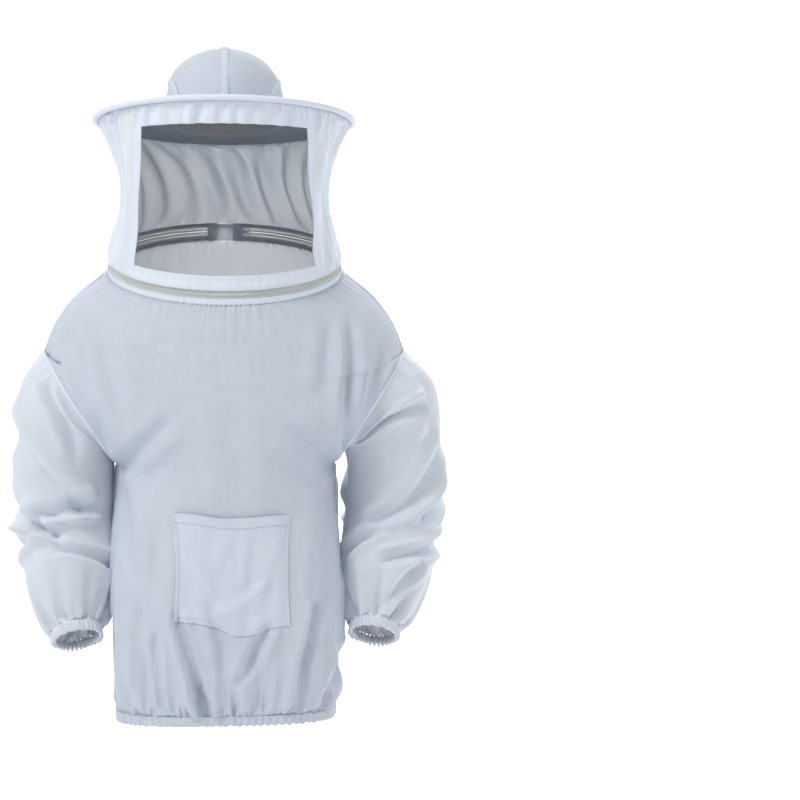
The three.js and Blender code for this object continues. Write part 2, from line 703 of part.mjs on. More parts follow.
// The ear panel's edge is half an ellipse; grow makes it larger all round.
const earForward = (grow) => (earPanelHalfLength + grow) / headHalfLength;
const earUp = (grow) => (earPanelHeight + grow) / crownHeight;
const domeStart = THREE.MathUtils.radToDeg(Math.asin(cloth / crownHeight));
for (const [name, side] of sides) {
  // From the seam over the head (0) to the ear panel's edge (1), at an angle over the head.
  const half = (share, degrees, height) => {
    const a = THREE.MathUtils.degToRad(degrees);
    const [c, s] = [Math.cos(a), Math.sin(a)];
    const edge = 1 / Math.hypot(c / earForward(seamGap / 2), s / earUp(seamGap / 2));
    const turn = lerp(Math.asin(seamGap / 2 / headHalfWidth), Math.acos(Math.min(1, edge)), share);
    return domePoint(Math.cos(turn) * c, Math.cos(turn) * s, side, height);
  };
  const ear = (share, along, height) => {
    const forward = along * earForward(-seamGap / 2);
    const top = earUp(-seamGap / 2) * Math.sqrt(1 - along ** 2);
    return domePoint(forward, lerp(0, top, share), side, height);
  };
  const over = steps(domeStart, 180 - domeStart, 22);
  const make = (surface, us, vs) =>
    sheet(surface, us, vs, 0, cloth, { raise: (u, v, height) => surface(u, v, height) });
  piece("crown_" + name, make(half, steps(0, 1, 6), over), cotton, brimFrame);
  piece("ear_panel_" + name, make(ear, steps(0, 1, 5), steps(-0.97, 0.97, 12)), cotton, brimFrame);
}
const overTape = (across, degrees, height) => {
  const a = THREE.MathUtils.degToRad(degrees);
  const turn = across / headHalfWidth;
  const lift = cloth + fit + height;
  const c = Math.cos(turn);
  return domePoint(c * Math.cos(a), c * Math.sin(a), Math.sign(across), lift);
};
const tapeAcross = steps(-crownTapeWidth / 2, crownTapeWidth / 2, 2);
const tapeOver = steps(domeStart, 180 - domeStart, 22);
piece(
  "crown_centre_tape",
  sheet(overTape, tapeAcross, tapeOver, 0, tapeThickness, { raise: overTape }),
  cottonBand,
  brimFrame,
);

// Inside the hat: a band round the head and an elastic across its back.
const bandOut = headHole - cloth - 2;
const bandWall = (out, from, to, low, high, count, closed) =>
  sheet((u, v) => headAt(u, out, v), steps(from, to, count), [low, high], 0, cloth, {
    closed,
    raise: (u, v, height) => headAt(u, out + height, v),
  });
const bandLow = -4;
piece(
  "sweatband",
  bandWall(bandOut, 0, 360, bandLow, bandLow + sweatbandHeight, 40, true),
  cottonBand,
  brimFrame,
);
const headElasticHeight = 16;
const headElasticSpan = 80; // degrees each way from the back
piece(
  "head_elastic",
  bandWall(
    bandOut - cloth - fit,
    180 - headElasticSpan,
    180 + headElasticSpan,
    bandLow + 4,
    bandLow + 4 + headElasticHeight,
    22,
    false,
  ),
  elasticKnit,
  brimFrame,
);

// ---------------------------------------------------------------- veil
const veilTopRadius = brimRadius - 12;
const veilTop = -brimFace - cloth - 2 * fit;
const veilFoot = tapeFar + seamGap;
const veilHeight = brimPoint(0, veilTop, veilTopRadius).distanceTo(neckPoint(0, veilFoot));
function veilPoint(degrees, v) {
  const top = brimPoint(degrees, veilTop, veilTopRadius);
  const p = top.lerp(neckPoint(degrees, veilFoot), v);
  const sideways = smooth((Math.abs(degrees > 180 ? 360 - degrees : degrees) - 35) / 45);
  const inward = polar(veilWaist * sideways * Math.sin(Math.PI * v) ** 1.2, degrees);
  return p.sub(inward);
}
// Lines that run down the veil, in degrees round it.
const windowEdge = (v) => lerp(windowTopAngle, windowBottomAngle, v);
const bandEdge = (v) => windowEdge(v) + THREE.MathUtils.radToDeg(windowBand / neckRadius);
const rearSeam = (v) => lerp(rearSeamTopAngle, rearSeamBottomAngle, v);
const gapAngle = THREE.MathUtils.radToDeg(seamGap / 2 / neckRadius) * 1.15;
const topBandEnd = windowTopBand / veilHeight;
const bottomBandStart = 1 - windowBottomBand / veilHeight;
const gapShare = seamGap / 2 / veilHeight;
function veilPanel(from, to, top, bottom, columns, rows, thickness = cloth) {
  const surface = (share, v) => veilPoint(lerp(from(v) + gapAngle, to(v) - gapAngle, share), v);
  return sheet(surface, steps(0, 1, columns), steps(top, bottom, rows), -thickness / 2, thickness / 2);
}
const mirrored = (line) => (v) => -line(v);
const [netTop, netBottom] = [topBandEnd + gapShare, bottomBandStart - gapShare];
const netThickness = 0.8;
const acrossWindow = (top, bottom, rows, thickness) =>
  veilPanel(mirrored(windowEdge), windowEdge, top, bottom, 13, rows, thickness);
piece("veil_mesh_front", acrossWindow(netTop, netBottom, 6, netThickness), netting);
piece("window_top_band", acrossWindow(0, topBandEnd - gapShare, 1, cloth), cottonBand);
piece("window_bottom_band", acrossWindow(bottomBandStart + gapShare, 1, 1, cloth), cottonBand);
const rear = (v) => 360 - rearSeam(v);
piece("veil_back", veilPanel(rearSeam, rear, 0, 1, 26, 7), cotton);
for (const [name, side] of sides) {
  const between = (from, to) => (side > 0 ? [from, to] : [mirrored(to), mirrored(from)]);
  piece("window_band_" + name, veilPanel(...between(windowEdge, bandEdge), 0, 1, 1, 7), cottonBand);
  piece("veil_side_" + name, veilPanel(...between(bandEdge, rearSeam), 0, 1, 5, 7), cotton);
  const half = THREE.MathUtils.radToDeg(veilSeamWidth / 2 / neckRadius);
  const strip = (share, v) => veilPoint(side * rearSeam(v) + lerp(-half, half, share), v);
  const down = steps(gapShare * 4, 1 - gapShare * 2, 7);
  const proud = cloth / 2 + 3 * fit;
  const seam = sheet(strip, steps(0, 1, 2), down, proud, proud + tapeThickness);
  piece("veil_seam_" + name, seam, cottonBand);
}

export default suit;
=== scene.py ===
"""A beekeeper's cotton jacket with a round hat and a veil that zips on at the neck."""
import math

import bpy
import numpy as np
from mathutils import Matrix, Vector
from mathutils.bvhtree import BVHTree


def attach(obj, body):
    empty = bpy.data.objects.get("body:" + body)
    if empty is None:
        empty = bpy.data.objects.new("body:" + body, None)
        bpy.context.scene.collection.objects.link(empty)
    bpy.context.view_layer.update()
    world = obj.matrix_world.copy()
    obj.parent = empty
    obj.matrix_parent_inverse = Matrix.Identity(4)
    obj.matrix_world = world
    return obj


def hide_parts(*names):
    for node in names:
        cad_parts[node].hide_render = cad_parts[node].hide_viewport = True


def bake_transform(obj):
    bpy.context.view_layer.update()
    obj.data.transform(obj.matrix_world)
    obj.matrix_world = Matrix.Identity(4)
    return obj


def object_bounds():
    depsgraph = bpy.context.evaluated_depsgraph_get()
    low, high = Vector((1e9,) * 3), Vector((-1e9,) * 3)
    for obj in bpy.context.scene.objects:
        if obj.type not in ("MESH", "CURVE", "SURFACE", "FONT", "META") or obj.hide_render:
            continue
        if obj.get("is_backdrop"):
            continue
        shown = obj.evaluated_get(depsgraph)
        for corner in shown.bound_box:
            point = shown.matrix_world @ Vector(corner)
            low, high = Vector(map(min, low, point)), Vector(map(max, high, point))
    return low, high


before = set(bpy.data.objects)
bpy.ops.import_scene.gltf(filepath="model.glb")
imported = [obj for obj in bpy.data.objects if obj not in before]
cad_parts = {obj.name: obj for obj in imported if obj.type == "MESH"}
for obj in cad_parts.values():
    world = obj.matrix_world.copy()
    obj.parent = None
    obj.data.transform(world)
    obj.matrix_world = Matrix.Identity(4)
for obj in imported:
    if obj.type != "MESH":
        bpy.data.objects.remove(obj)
cad_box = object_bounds()

# ---------------------------------------------------------------- camera
# The jacket is looked at from the front, from three metres away and at chest height. It hangs in
# the left half of the picture, so the camera turns a little to the right and down.
camera_data = bpy.data.cameras.new("camera")
camera_data.lens = 83
camera_data.sensor_width = 36
camera = bpy.data.objects.new("camera", camera_data)
camera.location = (0, -3.0, -0.11)
camera.rotation_euler = (math.radians(90 - 2.2), 0, math.radians(-5.4))
bpy.context.collection.objects.link(camera)
bpy.context.scene.camera = camera

# ---------------------------------------------------------------- studio
# A pale floor that curves up into a pale wall, with soft light from large panels and the room.
wall_colour = (0.9, 0.91, 0.93, 1)
floor_level = cad_box[0][2] - 0.9
profile = [(-6, 0), (3, 0), (3.6, 0.12), (3.95, 0.45), (4.1, 1), (4.1, 6)]
studio_mesh = bpy.data.meshes.new("studio")
studio_mesh.from_pydata(
    [(x, y, floor_level + z) for y, z in profile for x in (-8, 8)],
    [],
    [(2 * i, 2 * i + 1, 2 * i + 3, 2 * i + 2) for i in range(len(profile) - 1)],
)
studio_mesh.shade_smooth()
studio = bpy.data.objects.new("studio", studio_mesh)
bpy.context.collection.objects.link(studio)
studio_paint = bpy.data.materials.new("studio_paint")
studio_paint.use_nodes = True
studio_shader = studio_paint.node_tree.nodes["Principled BSDF"]
studio_shader.inputs["Base Color"].default_value = wall_colour
studio_shader.inputs["Roughness"].default_value = 0.95
studio_mesh.materials.append(studio_paint)
studio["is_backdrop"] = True

room = bpy.data.worlds.new("room")
room.use_nodes = True
room.node_tree.nodes["Background"].inputs["Color"].default_value = (0.93, 0.96, 1, 1)
room.node_tree.nodes["Background"].inputs["Strength"].default_value = 0.70
bpy.context.scene.world = room
bpy.context.scene.view_settings.view_transform = "Standard"


def soft_light(name, place, aim, size, power):
    panel = bpy.data.lights.new(name, "AREA")
    panel.shape = "RECTANGLE"
    panel.size, panel.size_y = size
    panel.energy = power
    lamp = bpy.data.objects.new(name, panel)
    lamp.location = place
    lamp.rotation_euler = (Vector(aim) - Vector(place)).to_track_quat("-Z", "Y").to_euler()
    bpy.context.collection.objects.link(lamp)


soft_light("key_panel", (-2.2, -2.2, 2.4), (0, 0, -0.1), (1.2, 1.4), 64)
soft_light("side_panel", (2.9, -0.9, 0.7), (0, 0, -0.25), (0.9, 2.0), 9)
soft_light("hat_light", (0.3, 1.6, 1.3), (0, 0, 0.12), (0.8, 0.8), 11)
soft_light("wall_light", (0.6, 1.4, 1.6), (0.6, 4, 0.2), (3.0, 1.2), 100)
soft_light("floor_light", (0.6, 1.4, 0.9), (0.6, 2.0, -1.5), (2.5, 1.2), 50)

# ---------------------------------------------------------------- jacket cloth
# Thin white cotton poplin, cut as a front and a back that join at the shoulders and sides, and two
# full sleeves set into drop-shoulder armholes. The pieces are sewn flat and then hang as one cloth.
neck_radius = 0.186
neck_tilt = math.radians(18)
panel_start = 0.0148
shoulder = np.array([0.286, -0.015, -0.142])
armpit = np.array([0.176, -0.015, -0.321])
armhole_depth = 0.100
casing_top = -0.712
hem_half_width, hem_half_depth, hem_centre_y, hem_rise = 0.171, 0.136, -0.050, 0.009
side_half_width = 0.179


def curve_at(points, t):
    """A smooth curve through the points, at shares t of the way along it."""
    points = np.asarray(points, float)
    ends = [2 * points[0] - points[1], *points, 2 * points[-1] - points[-2]]
    knots = np.asarray(ends)
    count = len(points) - 1
    t = np.clip(np.atleast_1d(t), 0, 1) * count
    i = np.minimum(t.astype(int), count - 1)
    w = (t - i)[:, None]
    p0, p1, p2, p3 = knots[i], knots[i + 1], knots[i + 2], knots[i + 3]
    pairs = ((p0, p1), (p1, p2), (p2, p3))
    d0, d1, d2 = (np.sqrt(np.linalg.norm(b - a, axis=1))[:, None] for a, b in pairs)
    m1 = ((p1 - p0) / d0 - (p2 - p0) / (d0 + d1) + (p2 - p1) / d1) * d1
    m2 = ((p2 - p1) / d1 - (p3 - p1) / (d1 + d2) + (p3 - p2) / d2) * d1
    return p1 + m1 * w + (3 * (p2 - p1) - 2 * m1 - m2) * w**2 + (2 * (p1 - p2) + m1 + m2) * w**3


def smooth(t):
    t = np.clip(t, 0, 1)
    return t * t * (3 - 2 * t)


def neck_point(degrees, height, radius=neck_radius):
    a = np.radians(degrees)
    x, y = radius * np.sin(a), -radius * np.cos(a)
    c, s = math.cos(neck_tilt), math.sin(neck_tilt)
    return np.stack([x, y * c - height * s, y * s + height * c + 0 * x], -1)


def level(share):
    return armpit[2] + (casing_top - armpit[2]) * share


front_line = [
    neck_point(0, -panel_start),
    (0, -0.188, shoulder[2] - 0.052),
    (0, -0.196, armpit[2] - 0.025),
    (0, -0.200, level(0.5)),
    (0, -0.200, level(0.82)),
    (0, hem_centre_y - hem_half_depth, casing_top + hem_rise),
]
back_line = [
    neck_point(180, -panel_start),
    (0, 0.168, shoulder[2] - 0.030),
    (0, 0.152, armpit[2] - 0.010),
    (0, 0.152, level(0.5)),
    (0, 0.150, level(0.82)),
    (0, hem_centre_y + hem_half_depth, casing_top - hem_rise),
]
neck_side = neck_point(90, -panel_start)
shoulder_line = [
    neck_side,
    neck_side + (shoulder - neck_side) * 0.42 + (0.010, 0, 0.012),
    neck_side + (shoulder - neck_side) * 0.75 + (0.009, 0, 0.010),
    shoulder,
]
side_line = [
    armpit,
    (side_half_width, -0.028, level(0.35)),
    (side_half_width, -0.040, level(0.75)),
    (hem_half_width, hem_centre_y, casing_top),
]
armhole_centre = (shoulder + armpit) / 2
armhole_half = np.linalg.norm(shoulder - armpit) / 2
armhole_up = (shoulder - armpit) / (2 * armhole_half)
armhole_out = np.array([armhole_up[2], 0, -armhole_up[0]])


def panel_edge(v, facing):
    if v <= 1:
        return curve_at(shoulder_line, v)[0]
    if v >= 2:
        return curve_at(side_line, (v - 2) / 3)[0]
    turn = (v - 1) * math.pi
    edge = armhole_centre + armhole_up * armhole_half * math.cos(turn)
    return edge + (0, facing * armhole_depth * math.sin(turn), 0)


def panel_row(u, v, facing):
    """Points across the front (-1) or back (1) at one level, u from -1 to 1."""
    middle = curve_at(front_line if facing < 0 else back_line, v / 5)[0]
    edge = panel_edge(v, facing)
    power = 2 if v <= 2 else 2 + float(smooth((v - 2) / 1.2))
    side_y = armpit[1] if 1 < v < 2 else edge[1]
    cos_edge = (edge[1] - side_y) / (middle[1] - side_y)
    sin_edge = (1 - cos_edge**power) ** (1 / power)
    angle = np.abs(u) * math.atan2(sin_edge, cos_edge)
    size = (np.sin(angle) ** power + np.abs(np.cos(angle)) ** power) ** (1 / power)
    s, c = np.sin(angle) / size, np.cos(angle) / size
    drop = (1 - c) / (1 - cos_edge)
    x = np.sign(u) * edge[0] * s / sin_edge
    return np.stack([x, side_y + (middle[1] - side_y) * c, middle[2] + (edge[2] - middle[2]) * drop], -1)


elbow = np.array([0.268, 0.002, -0.392])
wrist = np.array([0.234, -0.097, -0.582])
sleeve_line = [
    armhole_centre,
    armhole_centre + armhole_out * 0.036,
    elbow,
    (elbow + wrist) / 2 + (0.004, 0.012, 0),
    wrist,
]
elbow_half_width, elbow_half_depth, cuff_radius = 0.077, 0.088, 0.037
elbow_shift = {1: 0.002, -1: -0.018}  # the right elbow is held in a little more than the left
cuff_up = -(curve_at(sleeve_line, 1)[0] - curve_at(sleeve_line, 0.995)[0])
cuff_up /= np.linalg.norm(cuff_up)
cuff_back = np.cross(cuff_up, (1, 0, 0))
cuff_back /= np.linalg.norm(cuff_back)
cuff_across = np.cross(cuff_back, cuff_up)
armhole_lean = math.atan2(armhole_up[2], armhole_up[0])


def sleeve_ring(angles, t, side):
    """Points round a sleeve at share t of the way to the wrist, with angle 0 on top."""
    lean = armhole_lean * (1 - min(1, t / 0.575))
    settle = float(smooth((t - 0.45) / 0.55))
    across = np.array([math.cos(lean), 0, math.sin(lean)]) * (1 - settle) + cuff_across * settle
    along = np.array([0, 1, 0]) * (1 - settle) + cuff_back * settle
    across, along = across / np.linalg.norm(across), along / np.linalg.norm(along)
    reach, taper = float(smooth(t / 0.5)), float(smooth((t - 0.5) / 0.5)) ** 7
    half = []
    for start, middle in ((armhole_half, elbow_half_width), (armhole_depth, elbow_half_depth)):
        half.append(start + (middle - start) * reach if t < 0.5 else middle + (cuff_radius - middle) * taper)
    sideways = np.array([elbow_shift[side], 0, 0])
    centre = curve_at(sleeve_line, t)[0] + sideways * math.sin(math.pi * t)
    ring = centre + np.outer(np.cos(angles) * half[0], across) + np.outer(np.sin(angles) * half[1], along)
    ring[:, 2] -= 0.014 * math.exp(-(((t - 0.93) / 0.06) ** 2)) * (1 - math.exp(-(((1 - t) / 0.02) ** 2)))
    return ring * (side, 1, 1)


armhole_rows = 36
levels = np.concatenate(
    [np.linspace(0, 1, 15)[:-1], np.linspace(1, 2, armhole_rows + 1)[:-1], np.linspace(2, 5, 76)]
)
half_fell = 0.0052  # the cloth has a line of its own this far from each seam


def panel_grid(facing):
    rows = []
    for v in levels:
        u = np.linspace(-1, 1, 97)
        reach = np.linalg.norm(np.diff(panel_row(np.array([0.97, 1.0]), v, facing), axis=0)) / 0.03
        u[1], u[-2] = -1 + half_fell / reach, 1 - half_fell / reach
        rows.append(panel_row(u, v, facing))
    return np.array(rows)


turns = np.linspace(0, 2 * math.pi, 2 * armhole_rows + 1)[:-1]
sleeve_shares = np.concatenate([[0, half_fell / 0.4], np.linspace(0.035, 1, 58)])


def sleeve_grid(side):
    return np.array([sleeve_ring(turns, t, side) for t in sleeve_shares])


def weld(grids):
    """Joins grids of points where they meet. Returns the points and each grid's point numbers."""
    flat = np.concatenate([g.reshape(-1, 3) for g in grids.values()])
    keys = np.round(flat / 2e-5).astype(np.int64)
    _, first, number = np.unique(keys, axis=0, return_index=True, return_inverse=True)
    number = number.reshape(-1)
    numbers, start = {}, 0
    for name, g in grids.items():
        count = g.shape[0] * g.shape[1]
        numbers[name] = number[start : start + count].reshape(g.shape[:2])
        start += count
    return flat[first], numbers


def quads(rows, columns, closed=False):
    i, j = np.meshgrid(np.arange(rows - 1), np.arange(columns if closed else columns - 1), indexing="ij")
    k = (j + 1) % columns
    upper, lower = i * columns, (i + 1) * columns
    return np.stack([upper + j, upper + k, lower + k, lower + j], -1).reshape(-1, 4)


def plain_object(name, points, faces):
    mesh = bpy.data.meshes.new(name)
    mesh.from_pydata([tuple(p) for p in points], [], [tuple(int(i) for i in f) for f in faces])
    mesh.validate()
    mesh.update()
    thing = bpy.data.objects.new(name, mesh)
    bpy.context.collection.objects.link(thing)
    return thing


def normals_of(points, faces):
    """Mean normals at the points of a mesh of four-sided faces."""
    a, b, c, d = (points[faces[:, k]] for k in range(4))
    face = np.cross(c - a, d - b)
    total = np.zeros_like(points)
    for k in range(4):
        np.add.at(total, faces[:, k], face)
    return total / np.maximum(np.linalg.norm(total, axis=1), 1e-12)[:, None]


def hang(name, points, faces, pinned, slack, steps, weight):
    """Lets cloth settle: pinned is how firmly each point is held, and slack its spare length."""
    cloth = plain_object(name, points, faces)
    for label, values in (("pinned", pinned), ("slack", slack / slack.max())):
        group = cloth.vertex_groups.new(name=label)
        for value in np.unique(np.round(values, 2)):
            group.add(np.flatnonzero(np.round(values, 2) == value).tolist(), float(value), "REPLACE")
    settings = cloth.modifiers.new("Cloth", "CLOTH")
    drape = settings.settings
    drape.quality = 5
    drape.mass = 0.12
    drape.tension_stiffness = drape.compression_stiffness = 12
    drape.shear_stiffness = 2
    drape.bending_stiffness = 0.35
    drape.air_damping = 2
    drape.vertex_group_mass = "pinned"
    drape.vertex_group_shrink = "slack"
    drape.shrink_min = 0
    drape.shrink_max = -float(slack.max())
    drape.effector_weights.gravity = weight
    settings.collision_settings.use_collision = False
    settings.point_cache.frame_start, settings.point_cache.frame_end = 1, steps
    scene = bpy.context.scene
    for step in range(1, steps + 1):
        scene.frame_set(step)
    settled = cloth.evaluated_get(bpy.context.evaluated_depsgraph_get()).to_mesh()
    result = np.empty(len(points) * 3)
    settled.vertices.foreach_get("co", result)
    scene.frame_set(1)
    bpy.data.objects.remove(cloth)
    return result.reshape(-1, 3)


def waves(angle, seed, low, high, count=5):
    """A sum of a few waves round a ring, between two numbers of waves, always the same for a seed."""
    draw = np.random.default_rng(seed)
    total = 0
    for number in draw.integers(low, high, count):
        total = total + draw.uniform(0.6, 1.2) * np.sin(number * angle + draw.uniform(0, 2 * math.pi))
    return total / math.sqrt(count)


grids = {
    "front": panel_grid(-1),
    "back": panel_grid(1),
    "sleeve_left": sleeve_grid(1),
    "sleeve_right": sleeve_grid(-1),
}
jacket_points, number_of = weld(grids)
jacket_faces = []
for part, grid in grids.items():
    closed = part.startswith("sleeve")
    faces = number_of[part].reshape(-1)[quads(*grid.shape[:2], closed)]
    flip = part in ("front", "sleeve_left")
    jacket_faces.append(faces[:, ::-1] if flip else faces)
jacket_faces = np.concatenate(jacket_faces)

point_pinned = np.zeros(len(jacket_points))
point_slack = np.full(len(jacket_points), 0.012)
body_share = np.clip((levels - 1.6) / 2.6, 0, 1)
for part in ("front", "back"):
    numbers = number_of[part]
    point_slack[numbers] = 0.014 + 0.045 * smooth(body_share)[:, None]
    point_pinned[numbers] = 0.30 - 0.15 * smooth((levels - 1.5) / 2)[:, None]
    point_pinned[numbers[:2]] = 1
    point_pinned[numbers[-1]] = 1
for part in ("sleeve_left", "sleeve_right"):
    numbers = number_of[part]
    point_slack[numbers] = 0.02 + 0.07 * smooth(sleeve_shares / 0.35)[:, None]
    point_pinned[numbers] = 0.15
    point_pinned[numbers[-1]] = 1


def creases(x, y, lines):
    """Valleys between rolls of slack cloth, each from one place on the cloth to another, in metres."""
    total = 0
    for (x0, y0), (x1, y1), depth, width in lines:
        run = math.hypot(x1 - x0, y1 - y0)
        along = ((x - x0) * (x1 - x0) + (y - y0) * (y1 - y0)) / run
        off = np.abs((x - x0) * (y1 - y0) - (y - y0) * (x1 - x0)) / run / width
        ends = smooth((along + width) / (2 * width)) * smooth((run + width - along) / (2 * width))
        total = total + depth * ends * (0.75 * np.exp(-((off - 1.7) ** 2) / 0.7) - np.exp(-2 * off**2))
    return total

# Where the elastics draw the cloth in, it starts in small ruffles that run out into longer folds.
jacket_normals = normals_of(jacket_points, jacket_faces)
push = np.zeros(len(jacket_points))
body_creases = {
    "front": [
        ((0.196, -0.050), (0.186, -0.300), 0.0060, 0.011),
        ((0.172, -0.062), (0.150, -0.205), 0.0030, 0.015),
        ((-0.205, -0.060), (-0.165, -0.240), 0.0035, 0.020),
        ((-0.240, -0.110), (-0.190, -0.290), 0.0045, 0.016),
        ((0.250, -0.140), (0.190, -0.320), 0.0040, 0.013),
        ((0.172, -0.335), (0.090, -0.260), 0.0035, 0.014),
        ((-0.172, -0.335), (-0.085, -0.250), 0.0035, 0.014),
        ((-0.168, -0.350), (-0.130, -0.560), 0.0050, 0.018),
        ((0.166, -0.360), (0.142, -0.600), 0.0050, 0.018),
        ((0.010, -0.230), (0.022, -0.385), 0.0018, 0.022),
        ((-0.110, -0.440), (-0.122, -0.660), 0.0036, 0.017),
        ((-0.180, -0.560), (-0.176, -0.700), 0.0050, 0.009),
        ((-0.110, -0.575), (-0.098, -0.690), 0.0045, 0.008),
        ((-0.077, -0.540), (-0.030, -0.705), 0.0055, 0.008),
        ((-0.030, -0.530), (0.002, -0.605), 0.0040, 0.015),
        ((0.066, -0.560), (0.018, -0.650), 0.0050, 0.010),
        ((0.140, -0.530), (0.104, -0.695), 0.0065, 0.009),
        ((0.198, -0.500), (0.206, -0.690), 0.0060, 0.010),
        ((0.190, -0.600), (0.146, -0.700), 0.0045, 0.008),
    ],
    "back": [
        ((0.215, -0.100), (0.165, -0.300), 0.0050, 0.016),
        ((-0.205, -0.090), (-0.170, -0.310), 0.0055, 0.015),
        ((0.150, -0.330), (0.060, -0.250), 0.0045, 0.016),
        ((-0.155, -0.325), (-0.040, -0.270), 0.0045, 0.016),
        ((0.140, -0.340), (0.105, -0.620), 0.0070, 0.020),
        ((-0.145, -0.340), (-0.120, -0.600), 0.0070, 0.020),
        ((0.030, -0.300), (0.045, -0.640), 0.0060, 0.024),
        ((-0.060, -0.380), (-0.040, -0.660), 0.0060, 0.022),
    ],
}
for part in ("front", "back"):
    numbers = number_of[part]
    place = jacket_points[numbers]
    around = np.arctan2(place[..., 0] / hem_half_width, -(place[..., 1] - hem_centre_y) / hem_half_depth)
    above = np.maximum(place[..., 2] - place[-1:, :, 2], 0)
    gathers = 0.011 * waves(around + 0.6 * above, 11, 13, 34, 7)
    gathers = gathers * smooth(above / 0.03) * np.exp(-above / 0.085)
    ruffles = 0.0045 * waves(around - 0.4 * above, 12, 44, 84, 7)
    gathers += ruffles * smooth(above / 0.012) * np.exp(-above / 0.032)
    seam_fade = smooth((1 - np.abs(np.linspace(-1, 1, place.shape[1]))) / 0.1)
    draped = creases(place[..., 0], place[..., 2], body_creases[part])
    draped = draped * smooth((levels - 0.15) / 0.4)[:, None]
    push[numbers] = gathers + 1.5 * draped * seam_fade

# Places on a sleeve are an angle round it from the top, through the back, and metres down it.
sleeve_creases = {
    "sleeve_right": [
        ((6.2, 0.150), (4.2, 0.215), 0.011, 0.014),
        ((6.6, 0.205), (4.9, 0.265), 0.013, 0.012),
        ((5.5, 0.235), (4.0, 0.205), 0.008, 0.012),
        ((6.4, 0.290), (5.2, 0.245), 0.009, 0.013),
        ((4.9, 0.300), (3.6, 0.345), 0.007, 0.012),
        ((1.6, 0.160), (2.9, 0.235), 0.010, 0.016),
        ((1.2, 0.270), (2.8, 0.300), 0.010, 0.015),
        ((5.3, 0.050), (4.4, 0.135), 0.006, 0.014),
    ],
    "sleeve_left": [
        ((4.0, 0.070), (5.4, 0.120), 0.009, 0.013),
        ((5.9, 0.175), (4.1, 0.245), 0.008, 0.015),
        ((6.5, 0.195), (5.3, 0.240), 0.011, 0.012),
        ((6.3, 0.275), (4.6, 0.340), 0.009, 0.013),
        ((4.4, 0.260), (3.6, 0.320), 0.007, 0.013),
        ((1.7, 0.150), (3.0, 0.220), 0.010, 0.016),
        ((1.0, 0.280), (2.6, 0.290), 0.010, 0.015),
        ((5.5, 0.330), (4.9, 0.395), 0.006, 0.010),
    ],
}
sleeve_round, sleeve_length = 0.085, 0.43
for seed, part in ((21, "sleeve_left"), (31, "sleeve_right")):
    turn, along = turns[None, :], (sleeve_shares * sleeve_length)[:, None]
    above = sleeve_length - along
    lines = [
        ((a * sleeve_round, b), (c * sleeve_round, d), 1.5 * depth, w)
        for (a, b), (c, d), depth, w in sleeve_creases[part]
    ]
    laps = (-2 * math.pi, 0, 2 * math.pi)
    folds = sum(creases((turn + lap) * sleeve_round, along, lines) for lap in laps)
    folds = folds * smooth(along / 0.04) * smooth(above / 0.05)
    cuff_folds = 0.009 * waves(turn + 0 * along, seed, 5, 13, 5)
    folds = folds + cuff_folds * smooth(above / 0.02) * np.exp(-above / 0.05)
    push[number_of[part]] = folds
jacket_points = jacket_points + jacket_normals * push[:, None]

jacket_settled = hang("jacket_cloth", jacket_points, jacket_faces, point_pinned, point_slack, 18, 0.25)
jacket_normals = normals_of(jacket_settled, jacket_faces)

# Cotton: a plain weave with uneven threads, so the cloth is a little streaky both ways.
white_cotton = (0.60, 0.64, 0.705, 1)
double_cotton = (0.78, 0.815, 0.885, 1)


